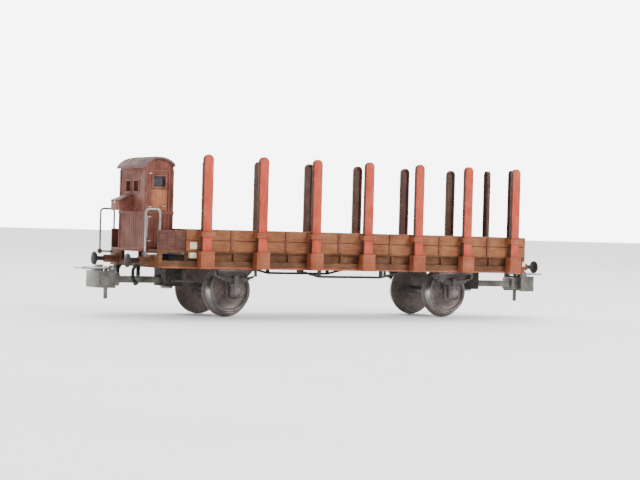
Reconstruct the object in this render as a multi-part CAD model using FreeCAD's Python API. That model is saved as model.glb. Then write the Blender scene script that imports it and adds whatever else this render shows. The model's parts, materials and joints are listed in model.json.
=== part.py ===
import FreeCAD, Part
import math
import os

# Model flat car with a brakeman's cab and lift-out stakes, in millimetres.
# X runs along the car with the cab at -X, Y runs across it and Z is up. The origin is
# midway along the car, on the level that the wheel flanges reach down to.
# "near" is the -Y side and "far" the +Y side.

VECTOR = FreeCAD.Vector
SIDES = {"near": -1, "far": 1}
ENDS = {"brake": -1, "plain": 1}

# Length and height of the car.
BUFFER_FACE_X = 60.0
HEADSTOCK_X = 53.4
BED_START_X = -46.2
SOLE_BOTTOM_Z = 11.9
SOLE_TOP_Z = 16.1
SOLE_OUTER_Y = 14.2
SOLE_INNER_Y = 12.9

# Load bed.
BOARD_TOP_Z = 21.3
BOARD_THICK = 0.5
END_BOARD_THICK = 0.8
DECK_THICK = 0.8
PLANK_PITCH = 2.0
PLANK_GAP = 0.16
BALLAST_THICK = 1.2

# Stakes and their pockets.
STAKE_COUNT = 7
STAKE_FIRST_X = -41.45
STAKE_PITCH = 15.05
STAKE_WIDTH = 2.5
STAKE_THICK = 1.2
STAKE_TOP_Z = 39.3
STAKE_BOTTOM_Z = 12.35
STAKE_HOLLOW_DEPTH = 0.6
STAKE_LIP = 0.5
END_STAKE_Y = 5.7
END_STAKE_WIDTH = 2.2
END_STAKE_THICK = 1.0
POCKET_WALL = 0.45
POCKET_FLOOR = 0.4
POCKET_PLAY = 0.1
STRAP_BOTTOM_Z = 19.6
STRAP_TOP_Z = 20.8

# Wheels, axles and axle guards.
AXLE_X = 31.9
TREAD_R = 5.6
FLANGE_R = 6.6
AXLE_Z = FLANGE_R
AXLE_R = 1.0
AXLE_END_R = 0.5
AXLE_END_Y = 12.2
WHEEL_BACK_Y = 7.2
WHEEL_FRONT_Y = 10.0
FLANGE_THICK = 0.7
GUARD_INNER_Y = 11.2
GUARD_THICK = 0.7
BEARING_PLAY = 0.05

# Couplers.
COUPLER_PIVOT_X = 44.4
COUPLER_FACE_X = 64.0
COUPLER_HALF_WIDTH = 4.1
COUPLER_BOTTOM_Z = 6.7
COUPLER_TOP_Z = 10.8
SHANK_BOTTOM_Z = 7.9
SHANK_TOP_Z = 9.5
LOOP_TIP_X = 68.0
LOOP_WIRE_R = 0.27
LOOP_HINGE_R = 0.32
LOOP_HINGE_X = 60.6
LOOP_HINGE_Z = 11.4
LOOP_ARM_Y = 2.9
TRIP_PIN_BOTTOM_Z = 3.9

# Platform and brakeman's cab.
CAB_FRONT_X = -54.2
CAB_BACK_X = -46.8
CAB_HALF_WIDTH = 7.4
CAB_WALL = 0.8
CAB_BOTTOM_Z = 15.6
CAB_EAVE_Z = 36.3
CAB_RIDGE_Z = 38.0
ROOF_THICK = 0.5
ROOF_OVERHANG = 0.7
ROOF_BACK_OVERHANG = 0.15
FLOOR_TOP_Z = 16.3
PANEL_TOP_Z = 20.7


def block(x0, x1, y0, y1, z0, z1):
    """A box between two values on each axis."""
    return Part.makeBox(x1 - x0, y1 - y0, z1 - z0, VECTOR(x0, y0, z0))


def rod(start, end, radius):
    """A round bar between two points."""
    span = VECTOR(*end) - VECTOR(*start)
    return Part.makeCylinder(radius, span.Length, VECTOR(*start), span)


def joined(shapes):
    """Several touching solids as one."""
    return shapes[0].multiFuse(shapes[1:]).removeSplitter()


def profile_xz(points, y0, y1):
    """A prism along Y whose outline is a list of (x, z) points."""
    corners = [VECTOR(x, y0, z) for x, z in points]
    outline = Part.makePolygon(corners + corners[:1])
    return Part.Face(outline).extrude(VECTOR(0, y1 - y0, 0))


def at_side(shape, side):
    """A shape drawn on the +Y side, moved to the asked side."""
    if side > 0:
        return shape
    return shape.mirror(VECTOR(0, 0, 0), VECTOR(0, 1, 0))


def at_end(shape, end):
    """A shape drawn at the +X end, moved to the asked end."""
    if end > 0:
        return shape
    return shape.mirror(VECTOR(0, 0, 0), VECTOR(1, 0, 0))


def bent_wire(points, radius, bend):
    """A round wire through the points, each corner rounded to the bend radius."""
    corners = [VECTOR(*p) for p in points]
    edges = []
    start = corners[0]
    for before, corner, after in zip(corners, corners[1:], corners[2:]):
        back = (before - corner).normalize()
        onward = (after - corner).normalize()
        half_turn = (math.pi - back.getAngle(onward)) / 2
        entry = corner + back * (bend * math.tan(half_turn))
        leave = corner + onward * (bend * math.tan(half_turn))
        inward = (back + onward).normalize()
        middle = corner + inward * (bend / math.cos(half_turn) - bend)
        edges.append(Part.LineSegment(start, entry).toShape())
        edges.append(Part.Arc(entry, middle, leave).toShape())
        start = leave
    edges.append(Part.LineSegment(start, corners[-1]).toShape())
    ring = Part.Circle(corners[0], corners[1] - corners[0], radius).toShape()
    return Part.Wire(edges).makePipeShell([Part.Wire([ring])], True, False)


def save(name, shapes):
    """Writes one node, a single solid or a group of separate ones."""
    shape = shapes[0] if len(shapes) == 1 else Part.makeCompound(shapes)
    shape.exportStep("parts/" + name + ".step")


def stake_places():
    """The X of each side stake."""
    return [STAKE_FIRST_X + STAKE_PITCH * i for i in range(STAKE_COUNT)]


# ---------------------------------------------------------------- load bed

def planked(x0, x1, half_width, z0, z1):
    """A board floor whose planks lie across the car, with open joints on top."""
    floor = block(x0, x1, -half_width, half_width, z0, z1)
    count = int((x1 - x0) / PLANK_PITCH)
    gaps = []
    for i in range(1, count + 1):
        x = x0 + PLANK_PITCH * i
        gaps.append(block(x - PLANK_GAP / 2, x + PLANK_GAP / 2, -half_width, half_width, z1 - 0.2, z1))
    return floor.cut(Part.makeCompound(gaps))


def side_board():
    """Two planks on edge between the stakes, with a joint between them and a rib in each bay."""
    outer = SOLE_OUTER_Y
    board = block(BED_START_X, HEADSTOCK_X, outer - BOARD_THICK, outer, SOLE_TOP_Z, BOARD_TOP_Z)
    joint_z = (SOLE_TOP_Z + BOARD_TOP_Z) / 2
    joint = block(BED_START_X, HEADSTOCK_X, outer - 0.15, outer, joint_z - 0.1, joint_z + 0.1)
    shape = board.cut(joint)
    ribs = []
    for x in stake_places()[:-1]:
        middle = x + STAKE_PITCH / 2
        back = outer - BOARD_THICK
        ribs.append(block(middle - 0.45, middle + 0.45, back, outer + 0.3, SOLE_TOP_Z, BOARD_TOP_Z))
    return joined([shape] + ribs)


def end_board(end):
    """The low board that closes one end of the bed."""
    inner_y = SOLE_OUTER_Y - BOARD_THICK
    outer_x = HEADSTOCK_X if end > 0 else -BED_START_X
    board = block(outer_x - END_BOARD_THICK, outer_x, -inner_y, inner_y, SOLE_TOP_Z, BOARD_TOP_Z)
    joint_z = (SOLE_TOP_Z + BOARD_TOP_Z) / 2
    joint = block(outer_x - 0.15, outer_x, -inner_y, inner_y, joint_z - 0.1, joint_z + 0.1)
    return at_end(board.cut(joint), end)


def solebar():
    """The long side member: a recessed web, a thick lower edge, a top edge and ribs.

    Under the cab platform it drops to a low bar, which leaves a gap below the cab.
    """
    inner = SOLE_INNER_Y
    outer = SOLE_OUTER_Y
    headstock_back = HEADSTOCK_X - 1.0
    web = block(BED_START_X, headstock_back, inner, inner + 0.5, SOLE_BOTTOM_Z, SOLE_TOP_Z)
    lower = block(-headstock_back, headstock_back, inner, outer, SOLE_BOTTOM_Z, SOLE_BOTTOM_Z + 1.8)
    upper = block(BED_START_X, headstock_back, inner, outer - 0.1, SOLE_TOP_Z - 0.4, SOLE_TOP_Z)
    ribs = []
    for x in stake_places()[:-1]:
        middle = x + STAKE_PITCH / 2 + 0.9
        ribs.append(block(middle - 0.3, middle + 0.3, inner, outer - 0.2, SOLE_BOTTOM_Z, SOLE_TOP_Z))
    return joined([web, lower, upper] + ribs)


def headstock(end):
    """The cross member that carries the buffers; the brake-end one is cut low in the middle."""
    outer = HEADSTOCK_X
    bar = block(outer - 1.0, outer, -SOLE_OUTER_Y, SOLE_OUTER_Y, SOLE_BOTTOM_Z, SOLE_TOP_Z)
    if end > 0:
        notch = block(outer - 2, outer + 1, -2.2, 2.2, SOLE_BOTTOM_Z - 1, SOLE_BOTTOM_Z + 1.2)
    else:
        notch = block(outer - 2, outer + 1, -CAB_HALF_WIDTH, CAB_HALF_WIDTH, 13.4, SOLE_TOP_Z + 1)
        bar = bar.cut(block(outer - 2, outer + 1, -15, 15, CAB_BOTTOM_Z, SOLE_TOP_Z + 1))
    bar = bar.cut(notch)
    sockets = []
    for side in SIDES.values():
        y = 10.0 * side
        sockets.append(rod((outer - 0.5, y, 13.5), (outer + 3.5, y, 13.5), 0.95))
        sockets.append(rod((outer - 0.5, y, 13.5), (outer + 0.5, y, 13.5), 1.5))
    bore = [rod((outer + 2.4, 10.0 * s, 13.5), (outer + 4, 10.0 * s, 13.5), 0.55) for s in SIDES.values()]
    return at_end(joined([bar] + sockets).cut(Part.makeCompound(bore)), end)


# ---------------------------------------------------------------- stakes

def stake_blank(width, thick, lip):
    """A stake standing at the origin: a channel with a round top, its hollow towards -Y."""
    radius = width / 2
    shoulder = STAKE_TOP_Z - radius
    bar = block(-radius, radius, 0, thick, STAKE_BOTTOM_Z, shoulder)
    crown = rod((0, 0, shoulder), (0, thick, shoulder), radius)
    whole = joined([bar, crown])
    depth = STAKE_HOLLOW_DEPTH
    hollow = block(-radius + lip, radius - lip, -0.1, depth, BOARD_TOP_Z, shoulder)
    hollow_top = rod((0, -0.1, shoulder), (0, depth, shoulder), radius - lip)
    return whole.cut(joined([hollow, hollow_top]))


def side_stake(x, side):
    """One stake of a long side, with its hollow facing the load."""
    stake = stake_blank(STAKE_WIDTH, STAKE_THICK, STAKE_LIP)
    stake.translate(VECTOR(x, SOLE_OUTER_Y + POCKET_WALL + POCKET_PLAY, 0))
    return at_side(stake, side)


def end_stake(side):
    """One stake of the plain end, with its hollow facing the load."""
    stake = stake_blank(END_STAKE_WIDTH, END_STAKE_THICK, STAKE_LIP)
    stake.rotate(VECTOR(0, 0, 0), VECTOR(0, 0, 1), -90)
    stake.translate(VECTOR(HEADSTOCK_X + POCKET_WALL + POCKET_PLAY, END_STAKE_Y * side, 0))
    return stake


def pocket_pair(width, thick):
    """The closed foot and the open strap that hold one stake, against the plane Y = 0."""
    half_in = width / 2 + POCKET_PLAY
    half_out = half_in + POCKET_WALL
    deep_in = POCKET_WALL + thick + 2 * POCKET_PLAY
    deep_out = deep_in + POCKET_WALL
    foot = block(-half_out, half_out, 0, deep_out, SOLE_BOTTOM_Z, SOLE_TOP_Z)
    strap = block(-half_out, half_out, 0, deep_out, STRAP_BOTTOM_Z, STRAP_TOP_Z)
    floor_z = SOLE_BOTTOM_Z + POCKET_FLOOR
    way = block(-half_in, half_in, POCKET_WALL, deep_in, floor_z, STRAP_TOP_Z + 1)
    return [foot.cut(way), strap.cut(way)]


def side_pockets():
    """The pockets of all the side stakes."""
    solids = []
    for side in SIDES.values():
        for x in stake_places():
            for shape in pocket_pair(STAKE_WIDTH, STAKE_THICK):
                shape.translate(VECTOR(x, SOLE_OUTER_Y, 0))
                solids.append(at_side(shape, side))
    return solids


def end_pockets():
    """The pockets of the two stakes at the plain end."""
    solids = []
    for side in SIDES.values():
        for shape in pocket_pair(END_STAKE_WIDTH, END_STAKE_THICK):
            shape.rotate(VECTOR(0, 0, 0), VECTOR(0, 0, 1), -90)
            shape.translate(VECTOR(HEADSTOCK_X, END_STAKE_Y * side, 0))
            solids.append(shape)
    return solids


# ---------------------------------------------------------------- running gear

def wheel():
    """A disc wheel on the +Y side: flange, tread and a dished outer face."""
    points = [
        (AXLE_R, WHEEL_BACK_Y), (FLANGE_R - 0.3, WHEEL_BACK_Y), (FLANGE_R, WHEEL_BACK_Y + 0.25),
        (FLANGE_R - 0.15, WHEEL_BACK_Y + FLANGE_THICK), (TREAD_R + 0.1, WHEEL_BACK_Y + FLANGE_THICK + 0.15),
        (TREAD_R - 0.1, WHEEL_FRONT_Y), (TREAD_R - 0.9, WHEEL_FRONT_Y), (TREAD_R - 1.1, WHEEL_FRONT_Y - 0.6),
        (2.0, WHEEL_FRONT_Y - 0.6), (1.8, WHEEL_FRONT_Y), (AXLE_R, WHEEL_FRONT_Y),
    ]
    corners = [VECTOR(r, y, 0) for r, y in points]
    half_section = Part.Face(Part.makePolygon(corners + corners[:1]))
    return half_section.revolve(VECTOR(0, 0, 0), VECTOR(0, 1, 0), 360)


def axle():
    """The steel axle with thin running ends."""
    thick_end = WHEEL_FRONT_Y + 0.4
    bar = rod((0, -thick_end, 0), (0, thick_end, 0), AXLE_R)
    ends = rod((0, -AXLE_END_Y, 0), (0, AXLE_END_Y, 0), AXLE_END_R)
    return joined([bar, ends])


def axle_guard():
    """One guard plate with its axle box and leaf spring, drawn at the origin on the +Y side."""
    y0 = GUARD_INNER_Y
    y1 = y0 + GUARD_THICK
    outline = [
        (-5.2, SOLE_BOTTOM_Z), (-4.4, SOLE_BOTTOM_Z - 1.6), (-2.1, 8.4), (-2.1, 4.6),
        (2.1, 4.6), (2.1, 8.4), (4.4, SOLE_BOTTOM_Z - 1.6), (5.2, SOLE_BOTTOM_Z),
    ]
    plate = profile_xz(outline, y0, y1)
    head = block(-5.2, 5.2, y0, SOLE_OUTER_Y - 0.4, SOLE_BOTTOM_Z - 0.5, SOLE_BOTTOM_Z)
    box_body = block(-1.5, 1.5, y1 - 0.1, 13.0, 5.0, 8.2)
    box_cap = rod((0, 13.0, AXLE_Z), (0, 13.5, AXLE_Z), 1.1)
    leaves = []
    for i in range(4):
        half = 6.0 - 1.4 * i
        z = 9.9 - 0.3 * i
        outline = [(-half, z), (0, z - 0.5), (half, z), (half, z + 0.35), (0, z - 0.1), (-half, z + 0.35)]
        leaves.append(profile_xz(outline, y1 - 0.1, 13.0))
    buckle = block(-0.6, 0.6, y1 - 0.1, 13.2, 8.0, 10.2)
    hangers = [block(x - 0.3, x + 0.3, y1 - 0.1, 12.9, 9.9, SOLE_BOTTOM_Z) for x in (-5.7, 5.7)]
    bearing = rod((0, y0 - 1, AXLE_Z), (0, AXLE_END_Y + 0.1, AXLE_Z), AXLE_END_R + BEARING_PLAY)
    return joined([plate, head, box_body, box_cap, buckle] + leaves + hangers).cut(bearing)


def truss_rods():
    """The two tension rods under the solebars, each with two short posts."""
    solids = []
    for side in SIDES.values():
        y = 13.5 * side
        end_z = SOLE_BOTTOM_Z - 0.3
        points = [(-14.5, y, end_z), (-9.0, y, 10.3), (9.0, y, 10.3), (14.5, y, end_z)]
        wire = bent_wire(points, 0.3, 2.0)
        posts = [block(x - 0.4, x + 0.4, y - 0.3, y + 0.3, 10.2, SOLE_BOTTOM_Z) for x in (-9.0, 9.0)]
        ends = [block(x - 0.8, x + 0.8, y - 0.35, y + 0.35, 11.3, SOLE_BOTTOM_Z) for x in (-14.5, 14.5)]
        solids.append(joined([wire] + posts + ends))
    return solids


def centre_beam():
    """The channel along the middle of the frame, open downwards."""
    length = HEADSTOCK_X - 1.0
    shell = block(-length, length, -3.0, 3.0, SOLE_BOTTOM_Z, 14.9)
    low_end = block(-length - 1, BED_START_X, -4, 4, 13.7, 15)
    hollow = block(-44.0, 44.0, -2.2, 2.2, SOLE_BOTTOM_Z - 1, 14.1)
    return shell.cut(low_end).cut(hollow)


def cross_beams():
    """The five cross members on each side of the centre beam."""
    solids = []
    for x in (-45.2, -20.0, 0.0, 20.0, 45.2):
        for side in SIDES.values():
            beam = block(x - 0.6, x + 0.6, 3.0, SOLE_INNER_Y, 12.3, 14.9)
            solids.append(at_side(beam, side))
    return solids


# ---------------------------------------------------------------- couplers and buffers

def coupler_box():
    """The housing under the headstock that the coupler shank swings in."""
    x0 = COUPLER_PIVOT_X - 2.9
    x1 = COUPLER_PIVOT_X + 1.9
    shell = block(x0, x1, -3.4, 3.4, 7.2, SOLE_BOTTOM_Z)
    room = block(x0 + 0.6, x1 + 1, -2.8, 2.8, SHANK_BOTTOM_Z - 0.2, SHANK_TOP_Z + 0.2)
    screw_way = rod((COUPLER_PIVOT_X, 0, 6.0), (COUPLER_PIVOT_X, 0, 11.5), 0.75)
    return shell.cut(room).cut(screw_way)


def coupler_pivot():
    """The shouldered screw that the coupler swings on."""
    x = COUPLER_PIVOT_X
    shank = rod((x, 0, 6.8), (x, 0, 11.5), 0.75)
    head = rod((x, 0, 6.6), (x, 0, 7.2), 1.5)
    slot = block(x - 2, x + 2, -0.2, 0.2, 6.2, 6.85)
    return joined([shank, head]).cut(slot)


def coupler_head():
    """The swinging coupler: eye, shank, slotted head with a hook nose and two hinge lugs."""
    x = COUPLER_PIVOT_X
    face = COUPLER_FACE_X
    half = COUPLER_HALF_WIDTH
    plate_back = face - 0.9
    cheek_back = LOOP_HINGE_X - 0.8
    eye = rod((x, 0, SHANK_BOTTOM_Z), (x, 0, SHANK_TOP_Z), 2.1)
    shank = block(x, 58.5, -1.4, 1.4, SHANK_BOTTOM_Z, SHANK_TOP_Z)
    body = block(58.0, plate_back, -2.2, 2.2, 7.2, 10.3)
    plate = block(plate_back, face, -half, half, COUPLER_BOTTOM_Z, COUPLER_TOP_Z)
    hook = [(face - 2.0, 10.2), (face, 10.2), (face - 0.1, 11.4), (face - 1.0, 12.2), (face - 2.0, 12.2)]
    nose = profile_xz(hook, -1.0, 1.0)
    solids = [eye, shank, body, plate, nose]
    for side in SIDES.values():
        cheek = block(cheek_back, plate_back, half - 0.7, half, COUPLER_BOTTOM_Z, COUPLER_TOP_Z)
        lug = block(cheek_back, LOOP_HINGE_X + 0.8, half - 0.7, half, COUPLER_TOP_Z - 0.2, 12.1)
        solids += [at_side(cheek, side), at_side(lug, side)]
    whole = joined(solids)
    eye_way = rod((x, 0, 7), (x, 0, 11), 0.75 + BEARING_PLAY)
    pin_slot = block(LOOP_HINGE_X - 1.0, plate_back, -0.75, 0.75, 6, 13)
    hinge_ends = [(LOOP_HINGE_X, y, LOOP_HINGE_Z) for y in (-5, 5)]
    hinge_way = rod(hinge_ends[0], hinge_ends[1], LOOP_HINGE_R + BEARING_PLAY)
    return whole.cut(eye_way).cut(pin_slot).cut(hinge_way)


def coupler_loop():
    """The wire loop that drops over the next car's hook, with the pin that a track ramp lifts."""
    x = LOOP_HINGE_X
    z = LOOP_HINGE_Z
    tip = LOOP_TIP_X - LOOP_WIRE_R
    hinge = rod((x, -3.95, z), (x, 3.95, z), LOOP_HINGE_R)
    arms = [(x, -LOOP_ARM_Y, z), (tip, -LOOP_ARM_Y, z), (tip, LOOP_ARM_Y, z), (x, LOOP_ARM_Y, z)]
    bow = bent_wire(arms, LOOP_WIRE_R, 0.6)
    pin = rod((x, 0, z + 0.4), (x, 0, TRIP_PIN_BOTTOM_Z), 0.5)
    return joined([hinge, bow, pin])


def buffers():
    """The four buffers, each a domed head on a stem."""
    solids = []
    radius = 1.65
    dome = 4.7
    for end in ENDS.values():
        for side in SIDES.values():
            y = 10.0 * side
            stem = rod((HEADSTOCK_X + 2.4, y, 13.5), (BUFFER_FACE_X - 0.6, y, 13.5), 0.55)
            disc = rod((BUFFER_FACE_X - 0.8, y, 13.5), (BUFFER_FACE_X, y, 13.5), radius)
            ball = Part.makeSphere(dome, VECTOR(BUFFER_FACE_X - dome, y, 13.5))
            solids.append(at_end(joined([stem, disc.common(ball)]), end))
    return solids


# ---------------------------------------------------------------- platform and cab

def platform_panels():
    """The low panels that close the platform on both sides."""
    panel = block(-HEADSTOCK_X, BED_START_X, 13.2, 13.9, FLOOR_TOP_Z, PANEL_TOP_Z)
    return [at_side(panel, side) for side in SIDES.values()]


def roof_cylinder(extra, half_width):
    """The round that the roof bends over, from gable to gable."""
    chord = (CAB_BACK_X - CAB_FRONT_X) / 2
    rise = CAB_RIDGE_Z - CAB_EAVE_Z
    radius = (chord * chord + rise * rise) / (2 * rise)
    x = (CAB_BACK_X + CAB_FRONT_X) / 2
    z = CAB_RIDGE_Z - radius
    return rod((x, -half_width, z), (x, half_width, z), radius + extra)


def cab_windows():
    """The window openings: one in each side, two in the front and two in the back."""
    reach = CAB_HALF_WIDTH + 1
    cuts = [block(-52.1, -48.9, -reach, reach, 31.3, 33.8)]
    for side in SIDES.values():
        cuts.append(at_side(block(CAB_FRONT_X - 1, CAB_BACK_X + 1, 0.9, 3.6, 30.1, 32.6), side))
    return cuts


def cab_grooves():
    """Joints between the upright boards below the waist rail."""
    cuts = []
    low = FLOOR_TOP_Z + 0.4
    high = 24.5
    deep = 0.15
    for i in range(5):
        x = CAB_FRONT_X + 1.25 + 1.23 * i
        for side in SIDES.values():
            groove = block(x - 0.1, x + 0.1, CAB_HALF_WIDTH - deep, CAB_HALF_WIDTH + 1, low, high)
            cuts.append(at_side(groove, side))
    for i in range(11):
        y = -CAB_HALF_WIDTH + 1.25 + 1.23 * i
        cuts.append(block(CAB_FRONT_X - 1, CAB_FRONT_X + deep, y - 0.1, y + 0.1, low, high))
        cuts.append(block(CAB_BACK_X - deep, CAB_BACK_X + 1, y - 0.1, y + 0.1, low, high))
    return cuts


def cab_walls():
    """The four walls in one shell, with side gables, a waist rail and corner strips."""
    half = CAB_HALF_WIDTH
    lower = block(CAB_FRONT_X, CAB_BACK_X, -half, half, FLOOR_TOP_Z, CAB_EAVE_Z)
    above = block(CAB_FRONT_X, CAB_BACK_X, -half, half, CAB_EAVE_Z, CAB_RIDGE_Z + 1)
    gable = roof_cylinder(0, half).common(above)
    apron = block(CAB_FRONT_X, -HEADSTOCK_X, -half, half, CAB_BOTTOM_Z, FLOOR_TOP_Z)
    rail = block(CAB_FRONT_X - 0.25, CAB_BACK_X + 0.25, -half - 0.25, half + 0.25, 24.65, 25.35)
    corners = []
    for side in SIDES.values():
        for x in (CAB_FRONT_X - 0.12, CAB_BACK_X - 0.6):
            strip = block(x, x + 0.72, half - 0.6, half + 0.12, FLOOR_TOP_Z, 35.4)
            corners.append(at_side(strip, side))
    shell = joined([lower, gable, apron, rail] + corners)
    inner = half - CAB_WALL
    room = block(CAB_FRONT_X + CAB_WALL, CAB_BACK_X - CAB_WALL, -inner, inner, FLOOR_TOP_Z, 40)
    return shell.cut(room).cut(Part.makeCompound(cab_windows())).cut(Part.makeCompound(cab_grooves()))


def cab_roof():
    """The arched roof sheet with its eaves."""
    reach = CAB_HALF_WIDTH + ROOF_OVERHANG
    sheet = roof_cylinder(ROOF_THICK, reach).cut(roof_cylinder(0, reach + 1))
    x0 = CAB_FRONT_X - ROOF_OVERHANG
    x1 = CAB_BACK_X + ROOF_BACK_OVERHANG
    return sheet.common(block(x0, x1, -reach, reach, 35.6, 40))


def cab_glazing():
    """Clear panes against the inside of the walls."""
    inner_y = CAB_HALF_WIDTH - CAB_WALL
    side_pane = block(-52.6, -48.4, inner_y - 0.3, inner_y, 30.8, 34.3)
    front = block(CAB_FRONT_X + CAB_WALL, CAB_FRONT_X + CAB_WALL + 0.3, -4.1, 4.1, 29.6, 33.1)
    back = block(CAB_BACK_X - CAB_WALL - 0.3, CAB_BACK_X - CAB_WALL, -4.1, 4.1, 29.6, 33.1)
    return [at_side(side_pane, side) for side in SIDES.values()] + [front, back]


def cab_box():
    """The small locker with a sloping lid on the cab's front."""
    x = CAB_FRONT_X
    return profile_xz([(x - 3.6, 25.4), (x, 25.4), (x, 29.2), (x - 3.6, 27.7)], -0.5, 4.6)


def handrails():
    """The wire handrail bows at the platform's outer corners, with a knob at the lower bend."""
    solids = []
    y = 13.4
    for side in SIDES.values():
        points = [(-HEADSTOCK_X, y, 15.2), (-56.6, y, 15.2), (-56.6, y, 25.8), (-52.9, y, 25.8),
                  (-52.9, y, PANEL_TOP_Z)]
        wire = bent_wire(points, 0.3, 0.9)
        knob = Part.makeSphere(0.65, VECTOR(-56.6, y, 15.2))
        solids.append(at_side(joined([wire, knob]), side))
    return solids


def side_steps():
    """A footboard on its hanger and a curved iron under each side of the platform."""
    solids = []
    board = block(-49.5, -42.8, 13.4, 15.0, 8.6, 9.1)
    hanger = block(-46.6, -45.6, 13.0, 13.4, 8.6, SOLE_BOTTOM_Z)
    lip = block(-46.6, -45.6, 13.0, 13.6, 8.6, 9.1)
    footboard = joined([board, hanger, lip])
    outline = [(-52.8, 11.9), (-50.6, 11.9), (-51.2, 11.0), (-51.3, 9.9), (-50.9, 8.9), (-50.3, 8.4),
               (-51.2, 8.6), (-51.9, 9.5), (-52.1, 10.8)]
    iron = profile_xz(outline, 12.9, 13.6)
    for side in SIDES.values():
        solids += [at_side(footboard, side), at_side(iron, side)]
    return solids


def brake_hose():
    """The air hose that hangs from the headstock beside the coupler."""
    y = -5.2
    points = [(-HEADSTOCK_X, y, 12.6), (-54.9, y, 12.6), (-55.9, y, 11.4), (-55.9, y, 9.2), (-55.0, y, 7.8)]
    return bent_wire(points, 0.45, 1.2)


def label_plates():
    """Small blank plates on both sides, at the cab end of the bed and at the far corner."""
    solids = []
    outer = SOLE_OUTER_Y
    for side in SIDES.values():
        solids.append(at_side(block(-45.3, -43.4, outer, outer + 0.2, 16.6, 18.2), side))
        solids.append(at_side(block(-45.3, -43.4, SOLE_INNER_Y + 0.5, outer + 0.2, 14.4, 15.7), side))
        solids.append(at_side(block(52.4, HEADSTOCK_X, outer, outer + 0.2, 13.7, 15.0), side))
    return solids


# ---------------------------------------------------------------- nodes

os.makedirs("parts", exist_ok=True)

deck_end_x = HEADSTOCK_X - END_BOARD_THICK
deck_start_x = BED_START_X + END_BOARD_THICK
deck_half = SOLE_OUTER_Y - BOARD_THICK
save("deck", [planked(deck_start_x, deck_end_x, deck_half, SOLE_TOP_Z, SOLE_TOP_Z + DECK_THICK)])
save("ballast_plate", [block(-44.6, 52.0, -12.8, 12.8, SOLE_TOP_Z - BALLAST_THICK, SOLE_TOP_Z)])
save("stake_pockets_side", side_pockets())
save("stake_pockets_end", end_pockets())
save("centre_beam", [centre_beam()])
save("cross_beams", cross_beams())
save("truss_rods", truss_rods())
save("label_plates", label_plates())
save("buffers", buffers())
save("platform_floor", [block(-HEADSTOCK_X, BED_START_X, -13.9, 13.9, CAB_BOTTOM_Z, FLOOR_TOP_Z)])
save("platform_panels", platform_panels())
save("cab_walls", [cab_walls()])
save("cab_roof", [cab_roof()])
save("cab_glazing", cab_glazing())
save("cab_box", [cab_box()])
save("handrails", handrails())
save("side_steps", side_steps())
save("brake_hose", [brake_hose()])
save("coupler_pivots", [at_end(coupler_pivot(), end) for end in ENDS.values()])

for side_name, side in SIDES.items():
    save("side_board_" + side_name, [at_side(side_board(), side)])
    save("solebar_" + side_name, [at_side(solebar(), side)])
    for number, x in enumerate(stake_places(), start=1):
        save("stake_" + side_name + "_" + str(number), [side_stake(x, side)])
    save("stake_end_" + side_name, [end_stake(side)])

for end_name, end in ENDS.items():
    save("end_board_" + end_name, [end_board(end)])
    save("headstock_" + end_name, [headstock(end)])
    save("coupler_box_" + end_name, [at_end(coupler_box(), end)])
    save("coupler_head_" + end_name, [at_end(coupler_head(), end)])
    save("coupler_loop_" + end_name, [at_end(coupler_loop(), end)])
    centre = VECTOR(AXLE_X * end, 0, AXLE_Z)
    save("axle_" + end_name, [axle().translated(centre)])
    for side_name, side in SIDES.items():
        save("wheel_" + end_name + "_" + side_name, [at_side(wheel(), side).translated(centre)])
        guard = at_side(axle_guard(), side).translated(VECTOR(AXLE_X * end, 0, 0))
        save("axle_guard_" + end_name + "_" + side_name, [guard])
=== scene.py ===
"""Looks of an H0 model flat car with stakes and a brakeman's cab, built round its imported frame."""

import json
import logging
import math
from dataclasses import dataclass
from enum import Enum

import bmesh
import bpy
from mathutils import Matrix, Vector


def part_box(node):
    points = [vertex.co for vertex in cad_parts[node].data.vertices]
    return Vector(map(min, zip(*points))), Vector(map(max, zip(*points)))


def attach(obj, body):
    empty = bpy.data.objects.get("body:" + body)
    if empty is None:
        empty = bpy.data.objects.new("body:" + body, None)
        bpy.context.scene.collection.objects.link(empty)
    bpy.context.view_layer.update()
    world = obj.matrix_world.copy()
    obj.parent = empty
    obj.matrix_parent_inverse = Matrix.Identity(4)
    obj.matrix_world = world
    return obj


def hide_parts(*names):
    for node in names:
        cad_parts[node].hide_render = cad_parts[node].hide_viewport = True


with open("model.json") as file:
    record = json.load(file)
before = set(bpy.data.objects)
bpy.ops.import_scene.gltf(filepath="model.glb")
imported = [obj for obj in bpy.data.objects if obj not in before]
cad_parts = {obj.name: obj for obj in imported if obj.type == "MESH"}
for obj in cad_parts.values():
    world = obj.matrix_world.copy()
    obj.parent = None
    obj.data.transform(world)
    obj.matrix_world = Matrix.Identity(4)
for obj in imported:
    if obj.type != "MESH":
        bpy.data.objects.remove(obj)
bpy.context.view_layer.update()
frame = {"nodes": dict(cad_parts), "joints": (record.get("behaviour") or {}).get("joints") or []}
MM = 0.001
SIDES = {"near": -1.0, "far": 1.0}
ENDS = {"brake": -1.0, "plain": 1.0}
WAGON = "wagon"
log = logging.getLogger("flat_car")


# ---------------------------------------------------------------- finishes


class Grain(Enum):
    """The way a surface's grain runs."""

    NONE = (1.0, 1.0, 1.0)
    LENGTHWAYS = (0.12, 1.0, 1.0)
    CROSSWAYS = (1.0, 0.12, 1.0)
    UPRIGHT = (1.0, 1.0, 0.12)


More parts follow.
